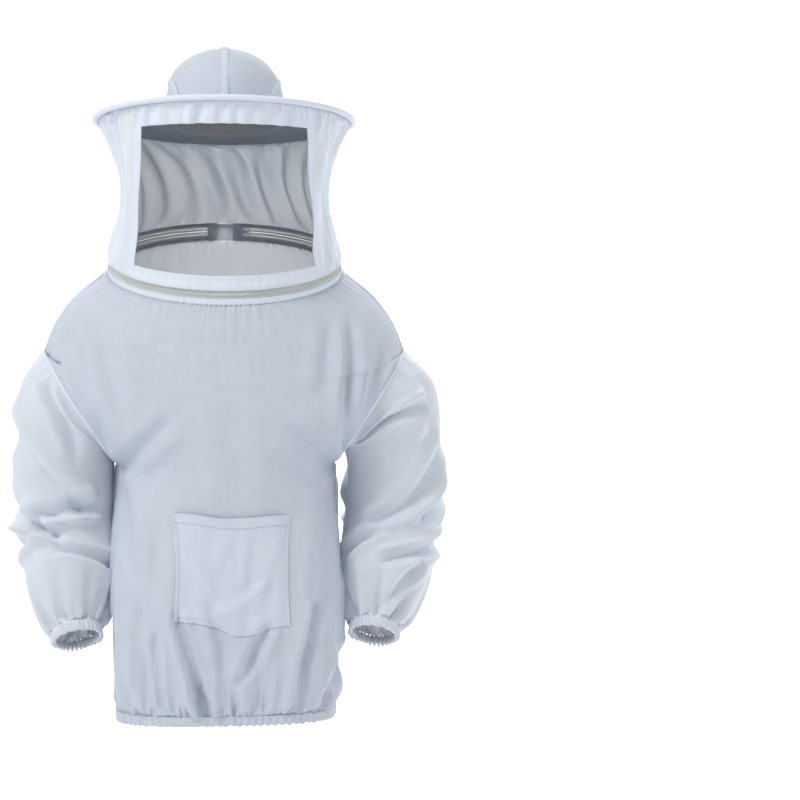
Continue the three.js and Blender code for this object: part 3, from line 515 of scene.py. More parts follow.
def woven(name, colour, streak=0.10, thread=0.0011, bump=0.25, rough=0.88, lets_light=0.0):
    """A woven cloth. Its pattern lies in the cloth's own flat measure, in metres."""
    stuff = bpy.data.materials.new(name)
    stuff.use_nodes = True
    tree = stuff.node_tree
    shader = tree.nodes["Principled BSDF"]
    flat = tree.nodes.new("ShaderNodeUVMap")
    flat.uv_map = "flat"

    def threads(along, across, detail):
        stretch = tree.nodes.new("ShaderNodeMapping")
        stretch.inputs["Scale"].default_value = (along, across, 1)
        tree.links.new(flat.outputs["UV"], stretch.inputs["Vector"])
        noise = tree.nodes.new("ShaderNodeTexNoise")
        noise.inputs["Scale"].default_value = 1
        noise.inputs["Detail"].default_value = detail
        tree.links.new(stretch.outputs["Vector"], noise.inputs["Vector"])
        return noise.outputs["Fac"]

    def blend(kind, a, b, share=0.5):
        node = tree.nodes.new("ShaderNodeMix")
        node.blend_type = kind
        node.data_type = "RGBA"
        node.inputs["Factor"].default_value = share
        tree.links.new(a, node.inputs["A"])
        tree.links.new(b, node.inputs["B"])
        return node.outputs["Result"]

    warp, weft = threads(1 / thread, 22, 3), threads(26, 1 / thread, 3)
    slubs = blend("MIX", warp, weft)
    cloudy = blend("MIX", slubs, threads(35, 35, 2), 0.25)
    tone = tree.nodes.new("ShaderNodeValToRGB")
    tone.color_ramp.elements[0].position, tone.color_ramp.elements[1].position = 0.36, 0.64
    dark = [c * (1 - streak) for c in colour[:3]]
    tone.color_ramp.elements[0].color = (*dark, 1)
    tone.color_ramp.elements[1].color = colour
    tree.links.new(cloudy, tone.inputs["Fac"])
    tree.links.new(tone.outputs["Color"], shader.inputs["Base Color"])
    roughness = tree.nodes.new("ShaderNodeMapRange")
    roughness.inputs["To Min"].default_value = rough - 0.08
    roughness.inputs["To Max"].default_value = rough + 0.08
    tree.links.new(cloudy, roughness.inputs["Value"])
    tree.links.new(roughness.outputs["Result"], shader.inputs["Roughness"])
    relief = tree.nodes.new("ShaderNodeBump")
    relief.inputs["Strength"].default_value = bump
    relief.inputs["Distance"].default_value = 0.0006
    tree.links.new(slubs, relief.inputs["Height"])
    tree.links.new(relief.outputs["Normal"], shader.inputs["Normal"])
    shader.inputs["Subsurface Weight"].default_value = lets_light
    shader.inputs["Subsurface Radius"].default_value = (1, 1, 1)
    shader.inputs["Subsurface Scale"].default_value = 0.004
    shader.inputs["Sheen Weight"].default_value = 0.15
    shader.inputs["Sheen Roughness"].default_value = 0.4
    shader.inputs["Specular IOR Level"].default_value = 0.2
    return stuff


cotton = woven("white_cotton", white_cotton)
thin_cotton = woven("single_cotton", (0.81, 0.855, 0.935, 1), lets_light=0.6)
trim = woven("doubled_cotton", double_cotton, streak=0.06)
sewing_thread = woven("sewing_thread", (0.78, 0.81, 0.88, 1), streak=0.05, bump=0.1)


def cloth_piece(
    name,
    grid,
    stuff,
    nodes=(),
    body=None,
    closed=False,
    flip=False,
    thickness=0.0007,
    fine=1,
):
    rows, columns = grid.shape[:2]
    ring = np.concatenate([grid, grid[:, :1]], 1) if closed else grid
    steps_across = np.linalg.norm(np.diff(ring, axis=1), axis=2)
    steps_down = np.linalg.norm(np.diff(grid, axis=0), axis=2)
    across = np.concatenate([[0], np.cumsum(steps_across.mean(0))])
    down = np.concatenate([[0], np.cumsum(steps_down.mean(1))])
    faces = quads(rows, columns, closed)
    i, j = np.divmod(faces[:, 0], columns)
    steps = ((0, 0), (1, 0), (1, 1), (0, 1))
    corners = np.stack([np.stack([across[j + a], down[i + b]], -1) for a, b in steps], 1)
    if flip:
        faces, corners = faces[:, ::-1], corners[:, ::-1]
    mesh = bpy.data.meshes.new(name)
    mesh.from_pydata(grid.reshape(-1, 3).tolist(), [], faces.tolist())
    mesh.uv_layers.new(name="flat").data.foreach_set("uv", corners.reshape(-1))
    mesh.shade_smooth()
    mesh.materials.append(stuff)
    piece = bpy.data.objects.new(name, mesh)
    bpy.context.collection.objects.link(piece)
    if fine:
        piece.modifiers.new("round", "SUBSURF").levels = fine
        piece.modifiers["round"].render_levels = fine
    if thickness:
        wall = piece.modifiers.new("thick", "SOLIDIFY")
        wall.thickness, wall.offset = thickness, -1
    if nodes:
        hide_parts(*nodes)
    one_way, other_way = ring[1:, :-1] - ring[:-1, 1:], ring[1:, 1:] - ring[:-1, :-1]
    area = float(np.linalg.norm(np.cross(one_way, other_way), axis=2).sum() / 2)
    if body:
        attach(piece, body)
    return piece


def settled(part, rows=slice(None), columns=slice(None)):
    return jacket_settled[number_of[part][rows, columns]]


def finer(grid, times, closed=False):
    """The same surface with more columns, as a smooth curve through each row."""
    count = grid.shape[1]
    at = np.arange(count * times if closed else (count - 1) * times + 1) / times
    i = np.minimum(at.astype(int), count - 1 if closed else count - 2)
    w = (at - i)[None, :, None]

    def pick(k):
        return grid[:, (i + k) % count if closed else np.clip(i + k, 0, count - 1)]

    p0, p1, p2, p3 = (pick(k) for k in (-1, 0, 1, 2))
    return p1 + 0.5 * w * (p2 - p0 + w * (2 * p0 - 5 * p1 + 4 * p2 - p3 + w * (3 * (p1 - p2) + p3 - p0)))


def grid_normals(grid, closed=False):
    rows, columns = grid.shape[:2]
    return normals_of(grid.reshape(-1, 3), quads(rows, columns, closed)).reshape(grid.shape)

# The gathers start as fine ruffles right at the elastic and at the neck zip, and die out quickly.
ruffle_count = 112
for part, facing in (("front", -1), ("back", 1)):
    grid = finer(settled(part), 5)
    out = grid_normals(grid) * -facing
    around = np.arctan2(grid[..., 0] / hem_half_width, -(grid[..., 1] - hem_centre_y) / hem_half_depth)
    above = np.maximum(grid[..., 2] - grid[-1:, :, 2], 0)
    below = np.linalg.norm(grid - grid[:1], axis=-1)
    ruffles = 0.0019 * waves(around, 12, 88, 128, 4) * np.exp(-above / 0.014)
    ruffles += 0.0030 * waves(around, 14, 40, 70, 5) * smooth(above / 0.012) * np.exp(-above / 0.032)
    ruffles += 0.0009 * waves(around, 13, 80, 140, 4) * np.exp(-below / 0.012)
    ruffles += 0.0012 * waves(around, 15, 30, 60, 4) * smooth(below / 0.01) * np.exp(-below / 0.03)
    seam_fade = smooth(np.minimum(np.arange(grid.shape[1]), np.arange(grid.shape[1])[::-1]) / 8)
    ruffles *= 0.35 + 0.65 * smooth(above / 0.006)
    grid = grid + out * (ruffles * seam_fade)[..., None]
    grid = np.concatenate([grid, grid[-1:] - (0, 0, 0.004)])
    stuff = cotton if facing < 0 else thin_cotton
    cloth_piece(part + "_cloth", grid, stuff, (part + "_panel",), "jacket", flip=facing < 0, fine=0)


def follow_sleeve(piece, side):
    """Bakes the piece's placement into its mesh."""
    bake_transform(piece)


for part, side in (("sleeve_left", 1), ("sleeve_right", -1)):
    grid = finer(finer(settled(part), 4, True).transpose(1, 0, 2), 2).transpose(1, 0, 2)
    above = np.linspace(0.42, 0, len(grid))[:, None]
    turn = np.linspace(0, 2 * math.pi, grid.shape[1] + 1)[None, :-1]
    ruffles = 0.0022 * waves(turn, 16, 26, 44, 4) * np.exp(-above / 0.013)
    ruffles = ruffles + 0.0045 * waves(turn, 17, 9, 20, 5) * smooth(above / 0.01) * np.exp(-above / 0.035)
    grid = grid + grid_normals(grid, True) * (ruffles * -side)[..., None]
    sleeve = cloth_piece(
        part + "_cloth", grid, thin_cotton, (part,), closed=True, flip=side > 0, fine=0
    )
    follow_sleeve(sleeve, side)

# ---------------------------------------------------------------- felled seams
# Shoulder, side and armhole seams are flat-felled: the raw edges are folded under into a strip of
# four layers, a centimetre wide, and held down by two rows of stitching that pucker it a little.
stitch_length, stitch_pitch, thread_radius = 0.0023, 0.0032, 0.0003


def sew(name, rows, body):
    """Rows of separate stitches. Each row is a line of points with the cloth's normals there."""
    points, faces = [], []
    for line, normals in rows:
        travel = np.concatenate([[0], np.cumsum(np.linalg.norm(np.diff(line, axis=0), axis=1))])
        starts = np.arange(0.001, travel[-1] - stitch_length, stitch_pitch)

        def at(where, values):
            return np.stack([np.interp(where, travel, values[:, k]) for k in range(3)], -1)

        a, b = at(starts, line), at(starts + stitch_length, line)
        middle, up = (a + b) / 2, at(starts + stitch_length / 2, normals)
        up /= np.linalg.norm(up, axis=1)[:, None]
        side = np.cross(b - a, up)
        side *= thread_radius / np.maximum(np.linalg.norm(side, axis=1), 1e-9)[:, None]
        rise = up * thread_radius
        tips = [a - rise * 0.6, b - rise * 0.6]
        waist = [middle + side, middle + rise, middle - side, middle - rise]
        shape = np.stack(tips + waist, 1)
        turns = [(0, 2, 3), (0, 3, 4), (0, 4, 5), (0, 5, 2), (1, 3, 2), (1, 4, 3), (1, 5, 4), (1, 2, 5)]
        base = sum(len(p) for p in points)
        points.append(shape.reshape(-1, 3))
        faces.append((base + 6 * np.arange(len(starts))[:, None, None] + np.array(turns)).reshape(-1, 3))
    mesh = bpy.data.meshes.new(name)
    mesh.from_pydata(np.concatenate(points).tolist(), [], np.concatenate(faces).tolist())
    mesh.uv_layers.new(name="flat")
    mesh.shade_smooth()
    mesh.materials.append(sewing_thread)
    stitches = bpy.data.objects.new(name, mesh)
    bpy.context.collection.objects.link(stitches)
    if body:
        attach(stitches, body)
    return stitches


def fell(name, rails, rail_normals, nodes, body, flip=False, proud=0.0014, seed=5, stuff=trim):
    """A folded strip over three lines of the cloth: one to each side of the seam and the seam."""
    shares = np.array([-1.06, -1.0, -0.62, -0.1, 0.1, 0.62, 1.0, 1.06])
    heights = np.array([0.0001, 0.72, 0.86, 1.0, 1.0, 0.86, 0.72, 0.0001])
    left, middle, right = (rails[:, k] for k in range(3))
    normal = rail_normals / np.linalg.norm(rail_normals, axis=1)[:, None]
    travel = np.concatenate([[0], np.cumsum(np.linalg.norm(np.diff(middle, axis=0), axis=1))])
    ripple = waves(travel * 2 * math.pi, seed, 55, 130, 5)[:, None] * 0.00035
    lines = []
    for share, height in zip(shares, heights):
        outer = left if share < 0 else right
        lines.append(middle + (outer - middle) * abs(share) + normal * (proud * height + ripple * height))
    grid = np.stack(lines, 1)
    strip = cloth_piece(name, grid, stuff, nodes, body, flip=flip, thickness=0.0005, fine=2)
    rows = []
    for share in (-0.78, 0.78):
        outer = left if share < 0 else right
        line = middle + (outer - middle) * abs(share) + normal * (proud * 0.85 + 0.0004) + normal * ripple
        rows.append((line, normal))
    return strip, sew(name + "_stitching", rows, body)


def resample(values, count):
    """The same lines with more points along them."""
    at = np.linspace(0, len(values) - 1, count)
    flat = values.reshape(len(values), -1)
    new = np.stack([np.interp(at, np.arange(len(values)), flat[:, k]) for k in range(flat.shape[1])], -1)
    return new.reshape(count, *values.shape[1:])


first_side_row = int(np.searchsorted(levels, 2))
last_shoulder_row = int(np.searchsorted(levels, 1))
seam_rows = {
    "shoulder": slice(1, last_shoulder_row + 1),
    "side": slice(first_side_row + 1, -1),
}
for side_name, edge, inner in (("left", -1, -2), ("right", 0, 1)):
    for seam, rows in seam_rows.items():
        lines = [("front", inner), ("front", edge), ("back", inner)]
        rails = np.stack([settled(part, rows, column) for part, column in lines], 1)
        normals = jacket_normals[number_of["front"][rows, edge]]
        count = len(rails) * 4
        fell(
            f"{seam}_seam_{side_name}_strip",
            resample(rails, count),
            resample(normals, count),
            (f"{seam}_seam_{side_name}",),
            "jacket",
            flip=edge == 0,
        )


def loop(values):
    return resample(np.concatenate([values, values[:1]]), len(values) * 3)


for side_name, side, inner in (("left", 1, -2), ("right", -1, 1)):
    rows = np.arange(last_shoulder_row, first_side_row + 1)
    around = np.concatenate([number_of["back"][rows, inner], number_of["front"][rows[::-1][1:-1], inner]])
    part = "sleeve_" + side_name
    ring = number_of[part]
    rails = np.stack([jacket_settled[around], jacket_settled[ring[0]], jacket_settled[ring[1]]], 1)
    normals = jacket_normals[ring[0]]
    name = f"armhole_seam_{side_name}"
    strip, stitches = fell(name + "_strip", loop(rails), loop(normals), (name,), None, flip=side < 0)
    follow_sleeve(strip, side)
    follow_sleeve(stitches, side)

# ---------------------------------------------------------------- hem and cuffs
# The cloth is folded over a flat elastic and stitched down, so that each edge is a narrow tube
# gathered into small upright ruffles. The elastic itself stays hidden inside.
casing_height = 0.0131
elastic_knit = woven("elastic_knit", (0.80, 0.80, 0.78, 1), streak=0.15, thread=0.0016)


def casing(name, place, stuff, count, ruffle, seed, nodes, flip=False, body=None):
    """A gathered tube round an edge: place gives a point from an angle, a way out and a height."""
    angle = np.linspace(0, 2 * math.pi, count * 9 + 1)[:-1]
    wave = waves(angle, seed, int(count * 0.8), int(count * 1.2), 4)
    drift = waves(angle, seed + 1, int(count * 0.3), int(count * 0.5), 4)
    section = [
        (0.0012, casing_height + 0.0016, 0.6),
        (0.0026, casing_height + 0.0010, 0.9),
        (0.0024, casing_height - 0.0008, 0.9),
        (0.0018, casing_height - 0.0022, 0.75),
        (0.0026, casing_height * 0.55, 0.95),
        (0.0024, casing_height * 0.22, 1.0),
        (0.0014, 0.0002, 1.0),
        (-0.0012, 0.0000, 1.0),
        (-0.0024, casing_height * 0.2, 0.9),
        (-0.0024, casing_height * 0.6, 0.7),
        (-0.0016, casing_height - 0.001, 0.6),
    ]
    rows = []
    for out, height, share in section:
        edge = -0.0014 * wave * math.exp(-height / 0.006) + 0.0006 * drift
        rows.append(place(angle, out + ruffle * share * (wave + 0.4 * drift), height + edge))
    cloth_piece(
        name, np.array(rows), stuff, nodes, body, closed=True, flip=flip, fine=1
    )
    stitch_out, stitch_height = 0.0027, casing_height - 0.0022
    line = place(angle, stitch_out + ruffle * 0.8 * (wave + 0.4 * drift), stitch_height + 0.0006 * drift)
    out_line = line - place(angle, 0 * angle, casing_height + 0 * angle)
    seam = (np.concatenate([line, line[:1]]), np.concatenate([out_line, out_line[:1]]))
    sew(name + "_stitching", [seam], body)


def hem_place(angle, out, height):
    s, c = np.sin(angle), np.cos(angle)
    size = (np.abs(s) ** 3 + np.abs(c) ** 3) ** (1 / 3)
    slope_x = np.sign(s) * (s / size) ** 2 / hem_half_width
    slope_y = -np.sign(c) * (c / size) ** 2 / hem_half_depth
    slope = np.stack([slope_x, slope_y], -1)
    slope /= np.linalg.norm(slope, axis=1)[:, None]
    x = hem_half_width * s / size + out * slope[:, 0]
    y = hem_centre_y - hem_half_depth * c / size + out * slope[:, 1]
    return np.stack([x, y, casing_top - 0.0012 - casing_height + hem_rise * c / size + height], -1)


casing("hem_casing_cloth", hem_place, cotton, ruffle_count, 0.0019, 51, ("hem_casing",), body="jacket")
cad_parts["hem_elastic"].data.materials[0] = elastic_knit


def cuff_place(side):
    def place(angle, out, height):
        radial = np.outer(np.cos(angle), cuff_across) + np.outer(np.sin(angle), cuff_back)
        out, height = (np.broadcast_to(v, angle.shape)[:, None] for v in (out, height))
        points = wrist + cuff_up * (height - casing_height - 0.0012) + radial * (cuff_radius + out)
        return points * (side, 1, 1)

    return place


for part, side in (("left", 1), ("right", -1)):
    name = f"cuff_casing_{part}"
    place, body = cuff_place(side), f"sleeve_{part}"
    casing(name + "_cloth", place, thin_cotton, 34, 0.0016, 61, (name,), flip=side < 0, body=body)
    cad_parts[f"cuff_elastic_{part}"].data.materials[0] = elastic_knit

# ---------------------------------------------------------------- pocket
# A patch of the same cotton sewn flat on the front along its sides and bottom. The top edge is
# folded twice and stitched, and has puckered along the stitching; the cloth below it hangs loose.
pocket_left, pocket_right, pocket_top, pocket_bottom = -0.081, 0.097, -0.390, -0.560
pocket_width, pocket_height = 0.178, 0.170
front_grid = settled("front")
front_tree = BVHTree.FromPolygons(front_grid.reshape(-1, 3).tolist(), quads(*front_grid.shape[:2]).tolist())


def on_front(x, z):
    hit, normal, _, _ = front_tree.ray_cast(Vector((x, -1, z)), Vector((0, 1, 0)))
    return np.array(hit), np.array(normal) * (-1 if normal.y > 0 else 1)


across, down = np.meshgrid(np.linspace(0, 1, 121), np.linspace(0, 1, 116))
side_lean = 0.004 * np.sin(math.pi * down) * np.sign(across - 0.5) * -1
pocket_x = pocket_left + (pocket_right - pocket_left) * across + side_lean * np.abs(2 * across - 1) ** 3
sag = 0.013 * np.exp(-(((across - 0.60) / 0.20) ** 2)) + 0.004 * across
top_line = pocket_top - 0.006 * smooth(across * 2.2) + 0.0012 * np.sin(9 * across)
pocket_z = top_line + (pocket_bottom - pocket_top - sag) * down + 0.006 * down
spots = [on_front(x, z) for x, z in zip(pocket_x.ravel(), pocket_z.ravel())]
pocket_base = np.array([spot[0] for spot in spots]).reshape(*across.shape, 3)
pocket_out = np.array([spot[1] for spot in spots]).reshape(*across.shape, 3)
edge_fade = smooth(across / 0.12) * smooth((1 - across) / 0.12) * smooth((1 - down) / 0.12)
wide_x, wide_z = across * pocket_width, down * pocket_height
lift = 0.0011 + 0.0042 * edge_fade * (0.6 + 0.4 * np.cos(math.pi * down * 0.8))
for x0, z0, x1, z1, depth, width in (
    (0.026, 0.075, 0.080, 0.142, 0.0034, 0.010),
    (0.060, 0.150, 0.150, 0.095, 0.0026, 0.009),
    (0.112, 0.020, 0.104, 0.100, 0.0024, 0.008),
    (0.080, 0.030, 0.062, 0.085, 0.0018, 0.010),
    (0.150, 0.060, 0.125, 0.130, 0.0020, 0.010),
):
    run = math.hypot(x1 - x0, z1 - z0)
    along = ((wide_x - x0) * (x1 - x0) + (wide_z - z0) * (z1 - z0)) / run
    off = ((wide_x - x0) * (z1 - z0) - (wide_z - z0) * (x1 - x0)) / run
    ends = smooth((along + 0.02) / 0.04) * smooth((run + 0.02 - along) / 0.04)
    off = off / width
    roll = np.exp(-(off**2)) - 0.6 * np.exp(-((off - 1.6) ** 2))
    lift = lift + depth * ends * edge_fade * roll
slant = wide_x * 2 * math.pi + wide_z * 1.2
top_puckers = waves(slant / pocket_width, 71, 22, 40, 5)
lift = lift + 0.0007 * top_puckers * np.exp(-((wide_z - 0.010) ** 2) / 0.012**2)
side_puckers = waves(wide_z * 2 * math.pi / pocket_height, 72, 14, 30, 5)
lift = lift + 0.0005 * side_puckers * np.exp(-np.minimum(wide_x, pocket_width - wide_x) / 0.009)
lift = np.maximum(lift, 0.0010)
pocket_grid = pocket_base + pocket_out * lift[..., None]
pocket_cotton = woven("pocket_cotton", (0.66, 0.695, 0.765, 1), streak=0.07)
cloth_piece(
    "pocket_cloth", pocket_grid, pocket_cotton, ("pocket",), "jacket", fine=1, flip=True
)


def over_pocket(name, rows, columns, proud, nodes=()):
    strip = (pocket_base + pocket_out * (lift + proud)[..., None])[rows, columns]
    strip = np.array(strip)
    return cloth_piece(
        name, strip, pocket_cotton, nodes, "jacket", fine=1, flip=True, thickness=0.0008
    )


over_pocket("pocket_hem_cloth", slice(0, 11), slice(0, 121), 0.0009, ("pocket_hem",))
over_pocket("pocket_side_left", slice(11, 116), slice(116, 121), 0.0008)
over_pocket("pocket_side_right", slice(11, 116), slice(0, 5), 0.0008)
over_pocket("pocket_foot", slice(111, 116), slice(5, 116), 0.0008)
raised = pocket_base + pocket_out * (lift + 0.0020)[..., None]
sew(
    "pocket_stitching",
    [(raised[10], pocket_out[10]), (raised[1], pocket_out[1])]
    + [(raised[:114, k], pocket_out[:114, k]) for k in (2, 118)]
    + [(raised[113, 2:119], pocket_out[113, 2:119])],
    "jacket",
)

# ---------------------------------------------------------------- neck zip
# A fine nylon coil zip in a circle: two cream tapes, a coil of loops on each, metal fittings. The
# jacket's neck edge is bound with a narrow strip of cotton, sewn over the tape and slightly puckered.
zip_tape_cloth = woven("zip_tape", (0.69, 0.72, 0.70, 1), streak=0.12, thread=0.0009, lets_light=0.6)
coil_nylon = bpy.data.materials.new("coil_nylon")
coil_nylon.use_nodes = True
coil_shader = coil_nylon.node_tree.nodes["Principled BSDF"]
coil_shader.inputs["Base Color"].default_value = (0.66, 0.68, 0.61, 1)
coil_shader.inputs["Roughness"].default_value = 0.42
zinc = bpy.data.materials.new("plated_zinc")
zinc.use_nodes = True
zinc_shader = zinc.node_tree.nodes["Principled BSDF"]
zinc_shader.inputs["Base Color"].default_value = (0.42, 0.43, 0.44, 1)
zinc_shader.inputs["Metallic"].default_value = 1
wear = zinc.node_tree.nodes.new("ShaderNodeTexNoise")
wear.inputs["Scale"].default_value = 900
wear_range = zinc.node_tree.nodes.new("ShaderNodeMapRange")
wear_range.inputs["To Min"].default_value, wear_range.inputs["To Max"].default_value = 0.34, 0.52
zinc.node_tree.links.new(wear.outputs["Fac"], wear_range.inputs["Value"])
zinc.node_tree.links.new(wear_range.outputs["Result"], zinc_shader.inputs["Roughness"])
fittings = ("slider", "pull", "stop_lower", "stop_upper", "retainer_box", "insert_pin")
for name in fittings:
    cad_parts["zip_" + name].data.materials[0] = zinc


def neck_strip(heights, radii, columns, end=176.0):
    angles = np.linspace(-end, end, columns)
    rows = [neck_point(angles, h, neck_radius + r) for h, r in zip(heights, radii)]
    return np.array(rows)


zip_end = 176.0
for part, sign, body in (("lower", -1, "jacket"), ("upper", 1, "hood")):
    tape = neck_strip([sign * h for h in (0.00265, 0.006, 0.010, 0.01415)], (0, 0.0001, 0.0001, 0), 420)
    cloth_piece(
        f"zip_tape_{part}_cloth",
        tape,
        zip_tape_cloth,
        (f"zip_tape_{part}",),
        body,
        thickness=0.0008,
        fine=0,
        flip=sign < 0,
    )
    angle = np.arange(-zip_end + 0.1, zip_end - 0.1, math.degrees(0.00145 / neck_radius))
    middle = neck_point(angle, sign * 0.00165)
    tall = (neck_point(angle, sign * 0.00300) - middle)[:, None]
    deep = (neck_point(angle, sign * 0.00165, neck_radius + 0.00105) - middle)[:, None]
    broad = np.cross(deep[:, 0], tall[:, 0])
    broad = (broad / np.linalg.norm(broad, axis=1)[:, None] * 0.00078)[:, None]
    ring = [(math.cos(a), math.sin(a)) for a in np.radians((0, 60, 120, 180, 240, 300))]
    levels_in_loop = ((-0.92, 0.75), (0, 1), (0.92, 0.75))
    loops = np.concatenate(
        [middle[:, None] + deep * c * w + broad * q * w + tall * h for h, w in levels_in_loop for c, q in ring],
        1,
    ).reshape(len(angle), 18, 3)
    one = [
        (6 * k + i, 6 * k + (i + 1) % 6, 6 * k + 6 + (i + 1) % 6, 6 * k + 6 + i)
        for k in (0, 1)
        for i in range(6)
    ]
    one += [range(6)[::-1], range(12, 18)]
    faces = [tuple(c + 18 * n for c in face) for n in range(len(angle)) for face in one]
    coil_mesh = bpy.data.meshes.new(f"zip_coil_{part}_loops")
    coil_mesh.from_pydata(loops.reshape(-1, 3).tolist(), [], faces)
    coil_mesh.shade_smooth()
    coil_mesh.materials.append(coil_nylon)
    coil = bpy.data.objects.new(f"zip_coil_{part}_loops", coil_mesh)
    bpy.context.collection.objects.link(coil)
    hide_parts(f"zip_coil_{part}")
    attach(coil, body)

angles = np.linspace(-zip_end, zip_end, 900)
pucker = waves(np.radians(angles), 81, 90, 150, 5)
binding_heights = (-0.0068, -0.0071, -0.0105, -0.0142, -0.0166, -0.0168)
binding_out = (0.0010, 0.0019, 0.0022, 0.0022, 0.0019, 0.0006)
binding_rows = []
for height, out in zip(binding_heights, binding_out):
    binding_rows.append(neck_point(angles, height + 0.0003 * pucker, neck_radius + out + 0.00035 * pucker))
cloth_piece(
    "neck_binding_cloth",
    np.array(binding_rows),
    trim,
    ("neck_binding",),
    "jacket",
    fine=1,
    flip=True,
)
# A tab sewn to the binding stands behind the ends of the zip, where the two tapes stop short.
tab_angles = np.linspace(170.5, 189.5, 61)
tab_rows = []
for height in np.linspace(-0.0150, 0.0135, 24):
    corner = max(0.0, (height - 0.0095) / 0.004)
    inset = 2.2 * (1 - math.sqrt(max(0.0, 1 - min(1.0, corner) ** 2)))
    turned = 180 + (tab_angles - 180) * (1 - inset / 9.5)
    bow = 0.0005 * np.sin(np.radians(turned) * 60) * math.cos(height * 160)
    tab_rows.append(neck_point(turned, height, neck_radius - 0.0042 + bow))
cloth_piece(
    "zip_tab_cloth", np.array(tab_rows), thin_cotton, (), "jacket", thickness=0.0012
)
neck_normal = neck_point(angles, 0 * angles, neck_radius + 0.01) - neck_point(angles, 0 * angles)
stitch_rows = []
for height in (-0.0082, -0.0150):
    line = neck_point(angles, height + 0.0003 * pucker, neck_radius + 0.0024 + 0.00035 * pucker)
    stitch_rows.append((line, neck_normal))
sew("neck_binding_stitching", stitch_rows, "jacket")

# ---------------------------------------------------------------- veil
# A tube of cotton from under the brim down to the upper half of the zip, with a window of black
# net across the front. Wide folded bands frame the net, and two felled seams run down at the back.
brim_radius = 0.202
brim_centre = np.array([0, -0.058, 0.217])
brim_tilt = math.radians(-4)
veil_top_radius, veil_top, veil_foot = 0.1965, -0.00355, 0.01535
veil_waist = 0.027
window_top, window_bottom, rear_top, rear_bottom = 38, 49, 63, 73
top_band, bottom_band, side_band = 0.034, 0.014, 0.017


def brim_point(degrees, height, radius, across=None):
    a = np.radians(degrees)
    x, y = radius * np.sin(a), -(radius if across is None else across) * np.cos(a)
    c, s = math.cos(brim_tilt), math.sin(brim_tilt)
    return brim_centre + np.stack([x, y * c - height * s, y * s + height * c + 0 * x], -1)


def veil_point(degrees, v):
    """A row of the veil at share v of the way down."""
    top, foot = brim_point(degrees, veil_top, veil_top_radius), neck_point(degrees, veil_foot)
    round_side = smooth((np.minimum(degrees % 360, -degrees % 360) - 35) / 45)
    inward = veil_waist * round_side * math.sin(math.pi * v) ** 1.2
    a = np.radians(degrees)
    return top + (foot - top) * v - np.stack([np.sin(a) * inward, -np.cos(a) * inward, 0 * a], -1)


veil_height = float(np.linalg.norm(veil_point(np.zeros(1), 0) - veil_point(np.zeros(1), 1)))
net_from, net_to = top_band / veil_height, 1 - bottom_band / veil_height
veil_shares = np.concatenate(
    [np.linspace(0, net_from, 11), np.linspace(net_from, net_to, 46)[1:], np.linspace(net_to, 1, 6)[1:]]
)
columns_of = {"window": 96, "band_left": 6, "side_left": 22, "back": 190, "side_right": 22, "band_right": 6}
starts = np.concatenate([[0], np.cumsum(list(columns_of.values()))])
column_range = {name: (int(a), int(b)) for name, a, b in zip(columns_of, starts, starts[1:])}


def veil_angles(v):
    window = window_top + (window_bottom - window_top) * v
    band = window + math.degrees(side_band / neck_radius)
    rear = rear_top + (rear_bottom - rear_top) * v
    edges = [-window, window, band, rear, 360 - rear, 360 - band, 360 - window]
    spans = zip(edges, edges[1:], columns_of.values())
    return np.concatenate([np.linspace(a, b, n + 1)[:-1] for a, b, n in spans])


veil_grid = np.array([veil_point(veil_angles(v), v) for v in veil_shares])
veil_rows, veil_columns = veil_grid.shape[:2]
veil_faces = quads(veil_rows, veil_columns, True)
veil_normals = normals_of(veil_grid.reshape(-1, 3), veil_faces).reshape(veil_grid.shape)
if (veil_normals[30, 0] * (0, -1, 0)).sum() < 0:
    veil_normals = -veil_normals
angle = np.radians(np.array([veil_angles(v) for v in veil_shares]))
v = veil_shares[:, None]
drop_down, drop_up = v * veil_height, (1 - v) * veil_height
cloth_side = smooth((np.abs(np.angle(np.exp(1j * angle))) - math.radians(50)) / math.radians(10))
veil_push = cloth_side * 0.0060 * waves(angle + 0.25 * v, 41, 9, 26, 6) * np.sin(math.pi * v) ** 0.7
under_brim = np.exp(-drop_down / 0.05) * smooth(drop_down / 0.01)
veil_push += cloth_side * 0.0035 * waves(angle + 0.6 * v, 42, 20, 44, 5) * under_brim
veil_push += 0.0014 * waves(angle, 43, 70, 120, 5) * np.exp(-drop_down / 0.02)
mid_band = np.exp(-(((drop_down - 0.022) / 0.02) ** 2))
veil_push += (1 - cloth_side) * 0.0026 * waves(angle + 0.08 * v, 46, 24, 66, 7) * mid_band
veil_push += 0.0012 * waves(angle, 44, 70, 110, 5) * np.exp(-drop_up / 0.012)
over_zip = np.exp(-drop_up / 0.05) * smooth(drop_up / 0.012)
veil_push += cloth_side * 0.0030 * waves(angle - 0.4 * v, 49, 14, 34, 5) * over_zip
net_side = (1 - cloth_side) * smooth((v - net_from) / 0.1) * smooth((net_to - v) / 0.1)
net_sway = waves(angle + 0.5 * v, 47, 8, 20, 4) + waves(angle - 0.7 * v, 48, 8, 22, 4)
veil_push += net_side * 0.0022 * net_sway
veil_points = (veil_grid + veil_normals * veil_push[..., None]).reshape(-1, 3)
veil_settled = veil_points.reshape(veil_grid.shape)
